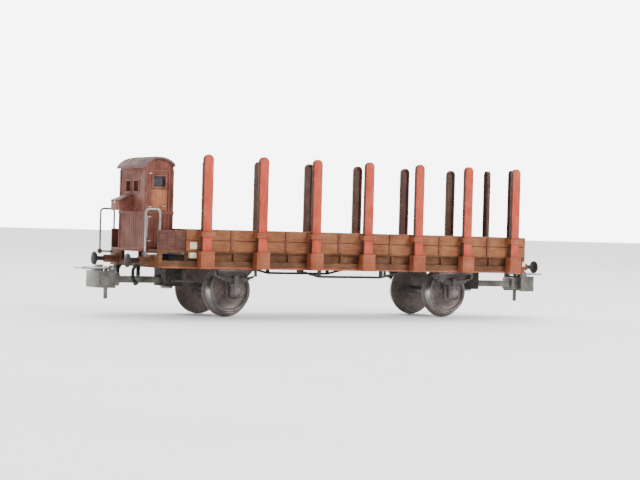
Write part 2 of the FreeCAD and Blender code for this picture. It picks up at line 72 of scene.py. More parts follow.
@dataclass(frozen=True)
class Finish:
    """One surface finish, mottled and grained by noise in object space.

    Args:
        name: The material's name.
        deep: Linear colour of the low and worn-dark patches.
        base: Linear colour of most of the surface.
        bright: Linear colour of rubbed and dusty patches.
        rough: Lowest and highest roughness.
        metallic: Share of bare metal in the shader.
        grain: Direction that the fine grain runs in.
        grain_per_m: Fine grain features per metre.
        patch_per_m: Colour patches per metre.
        relief_mm: Height of the grain in the bump.
        gloss: Strength of the surface's mirror-like reflection.
    """

    name: str
    deep: tuple[float, float, float]
    base: tuple[float, float, float]
    bright: tuple[float, float, float]
    rough: tuple[float, float] = (0.55, 0.75)
    metallic: float = 0.0
    grain: Grain = Grain.NONE
    grain_per_m: float = 2600.0
    patch_per_m: float = 260.0
    relief_mm: float = 0.03
    gloss: float = 0.18

    def material(self) -> bpy.types.Material:
        """Builds the finish, or finds it if it is already built.

        Returns:
            The Blender material.
        """
        known = bpy.data.materials.get(self.name)
        if known:
            return known
        made = bpy.data.materials.new(self.name)
        made.use_nodes = True
        nodes = made.node_tree.nodes
        shader = nodes["Principled BSDF"]
        shader.inputs["Metallic"].default_value = self.metallic
        shader.inputs["Specular IOR Level"].default_value = self.gloss
        place = nodes.new("ShaderNodeTexCoord")
        stretch = nodes.new("ShaderNodeMapping")
        stretch.inputs["Scale"].default_value = self.grain.value
        self._link(made, place.outputs["Object"], stretch.inputs["Vector"])
        patches = self._noise(made, place.outputs["Object"], self.patch_per_m, 4.0)
        fine = self._noise(made, stretch.outputs["Vector"], self.grain_per_m, 6.0)
        blend = nodes.new("ShaderNodeMix")
        blend.data_type = "FLOAT"
        blend.inputs["Factor"].default_value = 0.45
        self._link(made, patches, blend.inputs["A"])
        self._link(made, fine, blend.inputs["B"])
        ramp = nodes.new("ShaderNodeValToRGB")
        stops = ramp.color_ramp.elements
        stops[0].position, stops[0].color = 0.33, (*self.deep, 1.0)
        stops[1].position, stops[1].color = 0.68, (*self.bright, 1.0)
        middle = stops.new(0.5)
        middle.color = (*self.base, 1.0)
        self._link(made, blend.outputs["Result"], ramp.inputs["Fac"])
        self._link(made, ramp.outputs["Color"], shader.inputs["Base Color"])
        dull = nodes.new("ShaderNodeMapRange")
        dull.inputs["To Min"].default_value = self.rough[0]
        dull.inputs["To Max"].default_value = self.rough[1]
        self._link(made, fine, dull.inputs["Value"])
        self._link(made, dull.outputs["Result"], shader.inputs["Roughness"])
        bump = nodes.new("ShaderNodeBump")
        bump.inputs["Distance"].default_value = self.relief_mm * MM
        bump.inputs["Strength"].default_value = 0.7
        self._link(made, fine, bump.inputs["Height"])
        self._link(made, bump.outputs["Normal"], shader.inputs["Normal"])
        return made

    @staticmethod
    def _link(made: bpy.types.Material, source: bpy.types.NodeSocket, target: bpy.types.NodeSocket) -> None:
        """Joins two sockets of a material's tree."""
        made.node_tree.links.new(source, target)

    def _noise(self, made: bpy.types.Material, vector: bpy.types.NodeSocket,
               scale: float, detail: float) -> bpy.types.NodeSocket:
        """Adds a noise texture.

        Args:
            made: The material.
            vector: Socket with the coordinates to read.
            scale: Features per metre.
            detail: Octaves of detail.

        Returns:
            The noise's value socket.
        """
        noise = made.node_tree.nodes.new("ShaderNodeTexNoise")
        noise.inputs["Scale"].default_value = scale
        noise.inputs["Detail"].default_value = detail
        self._link(made, vector, noise.inputs["Vector"])
        return noise.outputs["Fac"]


@dataclass(frozen=True)
class PaneFinish:
    """Clear plastic glazing with a faint smear in its gloss.

    Args:
        name: The material's name.
        tint: Linear colour seen through the pane.
        smear_per_m: Smears per metre.
    """

    name: str = "clear_pane_finish"
    tint: tuple[float, float, float] = (0.16, 0.15, 0.17)
    smear_per_m: float = 400.0

    def material(self) -> bpy.types.Material:
        """Builds the pane's material, or finds it if it is already built.

        Returns:
            The Blender material.
        """
        known = bpy.data.materials.get(self.name)
        if known:
            return known
        made = bpy.data.materials.new(self.name)
        made.use_nodes = True
        nodes, links = made.node_tree.nodes, made.node_tree.links
        shader = nodes["Principled BSDF"]
        shader.inputs["Transmission Weight"].default_value = 0.6
        shader.inputs["IOR"].default_value = 1.49
        place = nodes.new("ShaderNodeTexCoord")
        noise = nodes.new("ShaderNodeTexNoise")
        noise.inputs["Scale"].default_value = self.smear_per_m
        links.new(place.outputs["Object"], noise.inputs["Vector"])
        ramp = nodes.new("ShaderNodeValToRGB")
        ramp.color_ramp.elements[0].color = (*[0.6 * c for c in self.tint], 1.0)
        ramp.color_ramp.elements[1].color = (*self.tint, 1.0)
        links.new(noise.outputs["Fac"], ramp.inputs["Fac"])
        links.new(ramp.outputs["Color"], shader.inputs["Base Color"])
        dull = nodes.new("ShaderNodeMapRange")
        dull.inputs["To Min"].default_value = 0.05
        dull.inputs["To Max"].default_value = 0.22
        links.new(noise.outputs["Fac"], dull.inputs["Value"])
        links.new(dull.outputs["Result"], shader.inputs["Roughness"])
        return made


STAKE = Finish("stake_red_brown", (0.300, 0.042, 0.021), (0.435, 0.067, 0.036), (0.540, 0.104, 0.062),
               grain=Grain.UPRIGHT, relief_mm=0.035)
BOARD = Finish("board_brown", (0.132, 0.045, 0.018), (0.225, 0.081, 0.035), (0.286, 0.132, 0.058),
               grain=Grain.LENGTHWAYS, relief_mm=0.05)
# Painted shade: a darker copy of the stake colour for a stake's sides and inner face.
STAKE_PAINTED_SHADE = Finish("stake_painted_shade", (0.060, 0.030, 0.022), (0.095, 0.050, 0.038), (0.150, 0.085, 0.066),
                    grain=Grain.UPRIGHT)
# Painted shade: a darker brown for the ribs on the side boards.
RIB_PAINTED_SHADE = Finish("rib_painted_shade", (0.085, 0.030, 0.018), (0.150, 0.054, 0.032), (0.240, 0.100, 0.062))
POCKET = Finish("pocket_brown", (0.180, 0.049, 0.022), (0.282, 0.083, 0.038), (0.372, 0.133, 0.068))
# Frame brown darkened as painted shade, for the solebars' webs under the boards, the headstocks and the
# platform floor.
FRAME_PAINTED_SHADE = Finish("frame_brown_painted_shade", (0.064, 0.026, 0.012), (0.113, 0.045, 0.021), (0.191, 0.087, 0.044),
              grain=Grain.LENGTHWAYS)
CAB = Finish("cab_painted", (0.087, 0.028, 0.019), (0.152, 0.051, 0.035), (0.230, 0.092, 0.066),
             grain=Grain.UPRIGHT, relief_mm=0.05)
CAB_TRIM = Finish("cab_trim", (0.120, 0.040, 0.028), (0.200, 0.072, 0.050), (0.300, 0.130, 0.092))
CAB_LIGHT = Finish("cab_door_panel", (0.190, 0.062, 0.030), (0.300, 0.105, 0.052), (0.420, 0.175, 0.090),
                   grain=Grain.UPRIGHT)
# Dark brown for nail heads, also used as painted shade: the sheet behind plank gaps and seams and the
# platform panels.
DARK_BROWN_AND_SHADE = Finish("dark_brown_and_painted_shade", (0.050, 0.020, 0.015), (0.090, 0.036, 0.026), (0.155, 0.070, 0.050),
                  grain=Grain.LENGTHWAYS)
DECK = Finish("deck_planks", (0.100, 0.045, 0.028), (0.175, 0.083, 0.052), (0.270, 0.145, 0.095),
              rough=(0.55, 0.8), grain=Grain.CROSSWAYS, relief_mm=0.07)
FRAME_BLACK = Finish("frame_black", (0.012, 0.010, 0.010), (0.030, 0.026, 0.025), (0.065, 0.058, 0.054))
GEAR_BLACK = Finish("gear_black", (0.037, 0.029, 0.028), (0.088, 0.072, 0.068), (0.187, 0.157, 0.146),
                    rough=(0.38, 0.58))
ROOF = Finish("roof_painted", (0.085, 0.045, 0.042), (0.150, 0.085, 0.080), (0.235, 0.145, 0.138),
              rough=(0.65, 0.9))
CREAM = Finish("cream_plate_print", (0.50, 0.38, 0.25), (0.72, 0.60, 0.42), (0.86, 0.77, 0.60))
WHEEL = Finish("wheel_blackened", (0.070, 0.054, 0.050), (0.150, 0.120, 0.112), (0.250, 0.208, 0.195),
               rough=(0.35, 0.52), metallic=0.1)
RIM = Finish("wheel_rim_face", (0.045, 0.040, 0.041), (0.115, 0.105, 0.103), (0.210, 0.195, 0.190),
             rough=(0.3, 0.45), metallic=0.5)
SPRING = Finish("spring_leaves", (0.030, 0.024, 0.024), (0.066, 0.056, 0.054), (0.130, 0.112, 0.108))
BOX_CAP = Finish("axle_box_cap", (0.060, 0.050, 0.050), (0.130, 0.110, 0.110), (0.240, 0.210, 0.210),
                 rough=(0.3, 0.45))
BRIGHT = Finish("bright_tread", (0.20, 0.19, 0.19), (0.36, 0.35, 0.34), (0.55, 0.54, 0.52),
                rough=(0.22, 0.4), metallic=0.9, grain_per_m=5200.0, relief_mm=0.008)
STEEL = Finish("sheet_steel", (0.16, 0.16, 0.16), (0.30, 0.30, 0.30), (0.46, 0.46, 0.45),
               rough=(0.3, 0.5), metallic=0.85, relief_mm=0.01)
COUPLER = Finish("coupler_cast", (0.058, 0.056, 0.049), (0.117, 0.111, 0.099), (0.211, 0.204, 0.184),
                 rough=(0.35, 0.55), metallic=0.45)
WIRE = Finish("drawn_wire", (0.16, 0.15, 0.15), (0.30, 0.29, 0.28), (0.50, 0.48, 0.46),
              rough=(0.25, 0.42), metallic=0.85, relief_mm=0.006)
HOSE = Finish("hose_rubber", (0.008, 0.008, 0.008), (0.020, 0.020, 0.020), (0.045, 0.045, 0.045),
              rough=(0.55, 0.75))
PANE = PaneFinish()


# ---------------------------------------------------------------- making pieces


def keep(name: str, mesh: bpy.types.Mesh, body: str,
         replaces: tuple[str, ...] = ()) -> bpy.types.Object:
    """Puts a finished mesh into the scene as a piece of the car.

    Args:
        name: The piece's name.
        mesh: Its mesh, in the car's own frame.
        body: The body it rides on.
        replaces: CAD nodes that it stands for.

    Returns:
        The new object.
    """
    mesh.name = name
    made = bpy.data.objects.new(name, mesh)
    bpy.context.scene.collection.objects.link(made)
    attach(made, body)
    if replaces:
        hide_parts(*replaces)
    log.info("%s: %d faces on %s", name, len(mesh.polygons), body)
    return made


def settled(source: bpy.types.Object) -> bpy.types.Mesh:
    """Turns an object with live modifiers into a plain mesh and removes the object.

    Args:
        source: The object with its modifiers.

    Returns:
        The evaluated mesh.
    """
    bpy.context.view_layer.update()
    evaluated = source.evaluated_get(bpy.context.evaluated_depsgraph_get())
    mesh = bpy.data.meshes.new_from_object(evaluated)
    source.modifiers.clear()
    bpy.data.objects.remove(source)
    return mesh


def put_together(parts: list[bpy.types.Mesh]) -> bpy.types.Mesh:
    """Joins meshes into one and keeps each one's material.

    Args:
        parts: Meshes in the car's own frame, each with one material.

    Returns:
        One mesh with all of them.
    """
    whole = bmesh.new()
    materials: list[bpy.types.Material] = []
    for part in parts:
        material = part.materials[0]
        if material not in materials:
            materials.append(material)
        first = len(whole.faces)
        whole.from_mesh(part)
        whole.faces.ensure_lookup_table()
        for face in whole.faces[first:]:
            face.material_index = materials.index(material)
    mesh = bpy.data.meshes.new("joined")
    whole.to_mesh(mesh)
    whole.free()
    for material in materials:
        mesh.materials.append(material)
    return mesh


def softened(source: bmesh.types.BMesh, finish: Finish | PaneFinish, edge_mm: float,
             segments: int = 2) -> bpy.types.Mesh:
    """Rounds a hard mesh's edges as a mould does.

    Args:
        source: The hard shape; it is freed.
        finish: The finish to put on it.
        edge_mm: Radius of the rounded edges.
        segments: Steps in each rounded edge.

    Returns:
        The rounded mesh.
    """
    bmesh.ops.remove_doubles(source, verts=source.verts, dist=0.002 * MM)
    bmesh.ops.dissolve_limit(source, angle_limit=math.radians(1.0), verts=source.verts, edges=source.edges)
    bmesh.ops.recalc_face_normals(source, faces=source.faces)
    mesh = bpy.data.meshes.new("hard")
    source.to_mesh(mesh)
    source.free()
    mesh.materials.append(finish.material())
    holder = bpy.data.objects.new("hard", mesh)
    bpy.context.scene.collection.objects.link(holder)
    if edge_mm > 0:
        bevel = holder.modifiers.new("edges", "BEVEL")
        bevel.width = edge_mm * MM
        bevel.segments = segments
        bevel.limit_method = "ANGLE"
        bevel.angle_limit = math.radians(32.0)
        bevel.harden_normals = False
        bevel.use_clamp_overlap = True
    mesh = settled(holder)
    smooth_by_angle(mesh)
    return mesh


def smooth_by_angle(mesh: bpy.types.Mesh, limit_deg: float = 38.0) -> None:
    """Shades a mesh smooth and keeps its sharper edges sharp.

    Args:
        mesh: The mesh to shade.
        limit_deg: Edges that turn by more than this stay sharp.
    """
    mesh.shade_smooth()
    mesh.set_sharp_from_angle(angle=math.radians(limit_deg))


def from_node(node: str, finish: Finish | PaneFinish, edge_mm: float = 0.08,
              segments: int = 2) -> bpy.types.Mesh:
    """Copies a CAD node's shape and rounds its edges.

    Args:
        node: The CAD node.
        finish: The finish to put on it.
        edge_mm: Radius of the rounded edges.
        segments: Steps in each rounded edge.

    Returns:
        The rounded mesh.
    """
    shape = bmesh.new()
    shape.from_mesh(frame["nodes"][node].data)
    return softened(shape, finish, edge_mm, segments)


def add_block(shape: bmesh.types.BMesh, low: tuple[float, float, float],
              high: tuple[float, float, float]) -> None:
    """Adds a box between two corners to a shape.

    Args:
        shape: Where it is added.
        low: Its lowest corner, in millimetres.
        high: Its highest corner, in millimetres.
    """
    low_m, high_m = Vector(low) * MM, Vector(high) * MM
    place = Matrix.Translation((low_m + high_m) / 2) @ Matrix.Diagonal((high_m - low_m).to_4d())
    bmesh.ops.create_cube(shape, size=1.0, matrix=place)


def turned(section: list[tuple[float, float]], axis: Vector, centre: Vector, finish: Finish,
           steps: int = 64) -> bpy.types.Mesh:
    """Turns a section about an axis, as on a lathe.

    Args:
        section: Points (radius, distance along the axis) in millimetres, from the axis back to it.
        axis: Direction of the axis.
        centre: Where distance 0 lies, in metres.
        finish: The finish to put on it.
        steps: Facets around.

    Returns:
        The turned mesh.
    """
    shape = bmesh.new()
    across = axis.orthogonal().normalized()
    points = [shape.verts.new(centre + across * (r * MM) + axis * (d * MM)) for r, d in section]
    for a, b in zip(points, points[1:]):
        shape.edges.new((a, b))
    bmesh.ops.spin(shape, geom=shape.verts[:] + shape.edges[:], cent=centre, axis=axis,
                   angle=2 * math.pi, steps=steps, use_merge=True)
    bmesh.ops.remove_doubles(shape, verts=shape.verts, dist=0.001 * MM)
    bmesh.ops.recalc_face_normals(shape, faces=shape.faces)
    mesh = bpy.data.meshes.new("turned")
    shape.to_mesh(mesh)
    shape.free()
    mesh.materials.append(finish.material())
    smooth_by_angle(mesh)
    return mesh


def wire(points: list[tuple[float, float, float]], radius_mm: float, bend_mm: float, finish: Finish,
         closed: bool = False) -> bpy.types.Mesh:
    """Bends a round wire through points with rounded corners.

    Args:
        points: The route's corners in millimetres.
        radius_mm: The wire's radius.
        bend_mm: How far from each corner its bend starts.
        finish: The finish to put on it.
        closed: Whether the wire joins its own end.

    Returns:
        The wire's mesh.
    """
    curve = bpy.data.curves.new("wire", "CURVE")
    curve.dimensions = "3D"
    curve.bevel_depth = radius_mm * MM
    curve.bevel_resolution = 5
    curve.use_fill_caps = True
    spline = curve.splines.new("BEZIER")
    corners = [Vector(p) * MM for p in points]
    knots: list[tuple[Vector, Vector, Vector]] = []
    count = len(corners)
    for i, corner in enumerate(corners):
        inside = closed or 0 < i < count - 1
        if not inside:
            knots.append((corner, corner, corner))
            continue
        back = (corners[i - 1] - corner).normalized() * bend_mm * MM
        onward = (corners[(i + 1) % count] - corner).normalized() * bend_mm * MM
        knots.append((corner + back, corner + back, corner + back * 0.45))
        knots.append((corner + onward, corner + onward * 0.45, corner + onward))
    spline.bezier_points.add(len(knots) - 1)
    for point, (place, left, right) in zip(spline.bezier_points, knots):
        point.co, point.handle_left, point.handle_right = place, left, right
    spline.use_cyclic_u = closed
    curve.resolution_u = 8
    holder = bpy.data.objects.new("wire", curve)
    bpy.context.scene.collection.objects.link(holder)
    mesh = settled(holder)
    mesh.materials.clear()
    mesh.materials.append(finish.material())
    smooth_by_angle(mesh, 50.0)
    return mesh


# ---------------------------------------------------------------- repeated things


class Unit(Enum):
    """What a row repeats."""

    DOME = "dome"
    BOARD = "board"


def row_tree(unit: Unit) -> bpy.types.GeometryNodeTree:
    """Builds the node tree that repeats one unit along a straight row.

    Args:
        unit: A rivet dome or a board.

    Returns:
        The tree, with the inputs First, Step, Size, Count, Jitter, Seed and Finish.
    """
    known = bpy.data.node_groups.get("row_of_" + unit.value)
    if known:
        return known
    tree = bpy.data.node_groups.new("row_of_" + unit.value, "GeometryNodeTree")
    sockets = tree.interface
    for label, kind in (("First", "Vector"), ("Step", "Vector"), ("Size", "Vector"), ("Count", "Int"),
                        ("Jitter", "Vector"), ("Seed", "Int"), ("Finish", "Material")):
        sockets.new_socket(label, in_out="INPUT", socket_type="NodeSocket" + kind)
    sockets.new_socket("Geometry", in_out="OUTPUT", socket_type="NodeSocketGeometry")
    nodes, links = tree.nodes, tree.links
    given, result = nodes.new("NodeGroupInput"), nodes.new("NodeGroupOutput")
    line = nodes.new("GeometryNodeMeshLine")
    links.new(given.outputs["Count"], line.inputs["Count"])
    links.new(given.outputs["First"], line.inputs["Start Location"])
    links.new(given.outputs["Step"], line.inputs["Offset"])
    nudge = nodes.new("FunctionNodeRandomValue")
    nudge.data_type = "FLOAT_VECTOR"
    lowest = nodes.new("ShaderNodeVectorMath")
    lowest.operation = "SCALE"
    lowest.inputs["Scale"].default_value = -1.0
    links.new(given.outputs["Jitter"], lowest.inputs[0])
    links.new(lowest.outputs["Vector"], nudge.inputs["Min"])
    links.new(given.outputs["Jitter"], nudge.inputs["Max"])
    links.new(given.outputs["Seed"], nudge.inputs["Seed"])
    shift = nodes.new("GeometryNodeSetPosition")
    links.new(line.outputs["Mesh"], shift.inputs["Geometry"])
    links.new(nudge.outputs["Value"], shift.inputs["Offset"])
    if unit is Unit.DOME:
        shape = nodes.new("GeometryNodeMeshUVSphere")
        shape.inputs["Segments"].default_value = 10
        shape.inputs["Rings"].default_value = 6
        shape.inputs["Radius"].default_value = 0.5
    else:
        shape = nodes.new("GeometryNodeMeshCube")
        shape.inputs["Size"].default_value = (1.0, 1.0, 1.0)
    spread = nodes.new("GeometryNodeInstanceOnPoints")
    links.new(shift.outputs["Geometry"], spread.inputs["Points"])
    links.new(shape.outputs["Mesh"], spread.inputs["Instance"])
    links.new(given.outputs["Size"], spread.inputs["Scale"])
    solid = nodes.new("GeometryNodeRealizeInstances")
    links.new(spread.outputs["Instances"], solid.inputs["Geometry"])
    coat = nodes.new("GeometryNodeSetMaterial")
    links.new(solid.outputs["Geometry"], coat.inputs["Geometry"])
    links.new(given.outputs["Finish"], coat.inputs["Material"])
    links.new(coat.outputs["Geometry"], result.inputs["Geometry"])
    return tree


def row(unit: Unit, first: tuple[float, float, float], step: tuple[float, float, float],
        size: tuple[float, float, float], count: int, finish: Finish,
        jitter: tuple[float, float, float] = (0.0, 0.0, 0.0), seed: int = 3,
        edge_mm: float = 0.0) -> bpy.types.Mesh:
    """Makes a row of equal domes or boards.

    Args:
        unit: What is repeated.
        first: Centre of the first one, in millimetres.
        step: From each one to the next, in millimetres.
        size: Length on each axis, in millimetres.
        count: How many there are.
        finish: The finish to put on them.
        jitter: Most that each one is off its place, in millimetres.
        seed: Seed of those offsets.
        edge_mm: Radius of a board's rounded edges.

    Returns:
        The row's mesh.
    """
    holder = bpy.data.objects.new("row", bpy.data.meshes.new("row"))
    bpy.context.scene.collection.objects.link(holder)
    repeat = holder.modifiers.new("row", "NODES")
    tree = row_tree(unit)
    values = {"First": Vector(first) * MM, "Step": Vector(step) * MM, "Size": Vector(size) * MM,
              "Count": count, "Jitter": Vector(jitter) * MM, "Seed": seed, "Finish": finish.material()}
    repeat.node_group = tree
    for socket in tree.interface.items_tree:
        if socket.in_out == "INPUT":
            repeat[socket.identifier] = values[socket.name]
    if edge_mm:
        bevel = holder.modifiers.new("edges", "BEVEL")
        bevel.width = edge_mm * MM
        bevel.segments = 2
    mesh = settled(holder)
    mesh.materials.clear()
    mesh.materials.append(finish.material())
    mesh.polygons.foreach_set("material_index", [0] * len(mesh.polygons))
    smooth_by_angle(mesh)
    return mesh


def extent(node: str) -> tuple[Vector, Vector]:
    """Measures a CAD node.

    Args:
        node: The CAD node.

    Returns:
        Its lowest and highest corners, in millimetres.
    """
    low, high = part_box(node)
    return low / MM, high / MM


def outer_face(node: str, side: float) -> float:
    """Finds a CAD node's outward face.

    Args:
        node: The CAD node.
        side: -1 for near, 1 for far.

    Returns:
        The face's Y, in millimetres.
    """
    low, high = extent(node)
    return high.y if side > 0 else low.y


# ---------------------------------------------------------------- load bed


@dataclass
class Bed:
    """The floor, the low boards round it and the frame under it.

    Args:
        plank_pitch: Width of a floor plank with its joint.
        plank_gap: Open joint between two floor planks.
        nail: Diameter of a nail head.
        bolt: Diameter of a bolt head on the ribs.
        rivet: Diameter of a rivet on the solebar.
        seam: Joint between the two side planks.
        nail_inset: Distance of the outer nails from the floor's edge.
        bearer_y: Distance of the inner bearers from the middle.
        nail_spread: Half the distance between the two nails at a bearer.
        rib_proud: How far a rib stands out of the side planks.
        board_thick: Thickness of the side planks.
        bolt_inset: Distance of the outer bolts from the board's edges.
        bolt_off_seam: Distance of the inner bolts from the seam.
        pocket_bolt_x: Distance of the bolts beside a pocket from its stake.
        strap_y: Distance between two straps on an end board.
        solebar_rivets: Rivets along one solebar.
        buffer_y: Distance of a buffer's bolts' middle from the car's middle.
        bolt_square: Half the side of the square of bolts round a buffer.
    """

    plank_pitch: float = 2.0
    plank_gap: float = 0.16
    nail: float = 0.26
    bolt: float = 0.42
    rivet: float = 0.30
    seam: float = 0.14
    nail_inset: float = 1.0
    bearer_y: float = 5.0
    nail_spread: float = 0.4
    rib_proud: float = 0.3
    board_thick: float = 0.5
    bolt_inset: float = 0.8
    bolt_off_seam: float = 0.75
    pocket_bolt_x: float = 2.25
    strap_y: float = 9.0
    solebar_rivets: int = 52
    buffer_y: float = 10.0
    bolt_square: float = 1.15

    def build(self) -> None:
        """Makes every piece of the bed."""
        self.floor()
        for name, side in SIDES.items():
            self.side_board("side_board_" + name, side)
            self.solebar("solebar_" + name, side)
        for name, end in ENDS.items():
            self.end_board("end_board_" + name, end)
            self.headstock("headstock_" + name, end)
        for node, finish, slot in (("ballast_plate", STEEL, "steel_plate"),
                                   ("centre_beam", FRAME_BLACK, "frame_dark"),
                                   ("cross_beams", FRAME_BLACK, "frame_dark"),
                                   ("truss_rods", FRAME_BLACK, "frame_dark"),
                                   ("label_plates", CREAM, "cream_plate")):
            keep(node + "_body", from_node(node, finish, 0.05), WAGON, (node,))

    def floor(self) -> None:
        """Makes the floor of separate planks with two nails at each bearer."""
        low, high = extent("deck")
        count = int(round((high.x - low.x) / self.plank_pitch))
        pitch = (high.x - low.x) / count
        middle = (low + high) / 2
        size = (pitch - self.plank_gap, high.y - low.y - 0.1, high.z - low.z - 0.08)
        planks = row(Unit.BOARD, (low.x + pitch / 2, 0.0, middle.z), (pitch, 0, 0), size, count, DECK,
                     jitter=(0.0, 0.04, 0.035), seed=11, edge_mm=0.05)
        # The dark backing under the planks is painted shade in the gaps between them.
        backing = bmesh.new()
        add_block(backing, (low.x, low.y + 0.1, low.z), (high.x, high.y - 0.1, low.z + 0.3))
        parts = [planks, softened(backing, DARK_BROWN_AND_SHADE, 0.0)]
        for y in (-high.y + self.nail_inset, -self.bearer_y, self.bearer_y, high.y - self.nail_inset):
            for offset in (-self.nail_spread, self.nail_spread):
                parts.append(row(Unit.DOME, (low.x + pitch / 2 + offset, y, high.z - 0.04), (pitch, 0, 0),
                                 (self.nail, self.nail, 0.14), count, DARK_BROWN_AND_SHADE, (0.05, 0.08, 0.0), seed=5))
        keep("deck_planks", put_together(parts), WAGON, ("deck",))

    def side_board(self, node: str, side: float) -> None:
        """Makes one long side: two planks, a rib in each bay and bolts along both.

        Args:
            node: The CAD node that it stands for.
            side: -1 for near, 1 for far.
        """
        low, high = extent(node)
        outer = abs(outer_face(node, side))
        face = outer - self.rib_proud
        back = face - self.board_thick
        middle = (low.z + high.z) / 2
        y0, y1 = sorted((side * back, side * face))
        shape = bmesh.new()
        for z0, z1 in ((low.z, middle - self.seam / 2), (middle + self.seam / 2, high.z)):
            add_block(shape, (low.x, y0, z0), (high.x, y1, z1))
        parts = [softened(shape, BOARD, 0.1)]
        # The dark filler behind the planks is painted shade in the seam between them.
        filler = bmesh.new()
        add_block(filler, (low.x + 0.2, side * (back + 0.2) - 0.08, low.z + 0.2),
                  (high.x - 0.2, side * (back + 0.2) + 0.08, high.z - 0.2))
        parts.append(softened(filler, DARK_BROWN_AND_SHADE, 0.0))
        stakes = stake_centres(node.split("_")[-1])
        pitch = stakes[1] - stakes[0]
        bays = len(stakes) - 1
        first = stakes[0] + pitch / 2
        # The ribs are the darker brown as painted shade for the dark line in each bay.
        parts.append(row(Unit.BOARD, (first, side * (face + 0.06), middle), (pitch, 0, 0),
                         (0.9, 0.42, high.z - low.z - 0.1), bays, RIB_PAINTED_SHADE, edge_mm=0.09))
        for z in (low.z + self.bolt_inset, middle - self.bolt_off_seam, middle + self.bolt_off_seam,
                  high.z - self.bolt_inset):
            parts.append(row(Unit.DOME, (first, side * (outer - 0.02), z), (pitch, 0, 0),
                             (self.bolt, 0.24, self.bolt), bays, POCKET))
            for offset in (-self.pocket_bolt_x, self.pocket_bolt_x):
                parts.append(row(Unit.DOME, (stakes[0] + offset, side * face, z), (pitch, 0, 0),
                                 (self.bolt * 0.8, 0.2, self.bolt * 0.8), len(stakes), BOARD))
        keep(node + "_planks", put_together(parts), WAGON, (node,))

    def end_board(self, node: str, end: float) -> None:
        """Makes one end board of two planks with three upright straps.

        Args:
            node: The CAD node that it stands for.
            end: -1 for the brake end, 1 for the plain end.
        """
        low, high = extent(node)
        middle = (low.z + high.z) / 2
        shape = bmesh.new()
        for z0, z1 in ((low.z, middle - self.seam / 2), (middle + self.seam / 2, high.z)):
            add_block(shape, (low.x, low.y, z0), (high.x, high.y, z1))
        # The dark filler behind the planks is painted shade in the seam between them.
        filler = bmesh.new()
        add_block(filler, (low.x + 0.2, low.y + 0.2, low.z + 0.2), (high.x - 0.2, high.y - 0.2, high.z - 0.2))
        face = high.x if end > 0 else low.x
        parts = [softened(shape, BOARD, 0.1), softened(filler, DARK_BROWN_AND_SHADE, 0.0)]
        inside = face - end * (high.x - low.x)
        parts.append(row(Unit.BOARD, (inside - end * 0.06, -self.strap_y, middle), (0, self.strap_y, 0),
                         (0.2, 0.9, high.z - low.z - 0.3), 3, POCKET, edge_mm=0.05))
        keep(node + "_planks", put_together(parts), WAGON, (node,))

    def solebar(self, node: str, side: float) -> None:
        """Makes one solebar with a row of rivets along its lower edge.

        Args:
            node: The CAD node that it stands for.
            side: -1 for near, 1 for far.
        """
        low, high = extent(node)
        face = outer_face(node, side)
        # The bar is the darkened frame brown as painted shade on its web; the lip along its foot is the
        # lighter pocket brown as a painted highlight.
        parts = [from_node(node, FRAME_PAINTED_SHADE, 0.09)]
        lip = bmesh.new()
        y0, y1 = sorted((face - side * 0.5, face + side * 0.02))
        add_block(lip, (low.x, y0, low.z - 0.01), (high.x, y1, low.z + 0.42))
        parts.append(softened(lip, POCKET, 0.05))
        pitch = (high.x - low.x - 2.0) / (self.solebar_rivets - 1)
        parts.append(row(Unit.DOME, (low.x + 1.0, face, low.z + 0.24), (pitch, 0, 0),
                         (self.rivet * 0.9, 0.16, self.rivet * 0.9), self.solebar_rivets, POCKET))
        keep(node + "_bar", put_together(parts), WAGON, (node,))

    def headstock(self, node: str, end: float) -> None:
        """Makes one headstock with the bolts round its buffer sockets.

        Args:
            node: The CAD node that it stands for.
            end: -1 for the brake end, 1 for the plain end.
        """
        parts = [from_node(node, FRAME_PAINTED_SHADE, 0.09)]
        buffer_low, buffer_high = extent("buffers")
        centre_z = (buffer_low.z + buffer_high.z) / 2
        face = end * abs(extent("platform_floor")[0].x)
        reach = self.bolt_square
        for side in SIDES.values():
            for z in (-reach, reach):
                parts.append(row(Unit.DOME, (face, side * self.buffer_y - reach, centre_z + z),
                                 (0, 2 * reach, 0), (0.26, self.bolt, self.bolt), 2, FRAME_PAINTED_SHADE))
        keep(node + "_bar", put_together(parts), WAGON, (node,))


# ---------------------------------------------------------------- stakes


def stake_centres(side: str) -> list[float]:
    """Finds the stakes of one long side.

    Args:
        side: "near" or "far".

    Returns:
        The X of each stake's middle, in millimetres.
    """
    count = sum(1 for node in frame["nodes"] if node.startswith(f"stake_{side}_"))
    return [sum(p.x for p in extent(f"stake_{side}_{i}")) / 2 for i in range(1, count + 1)]


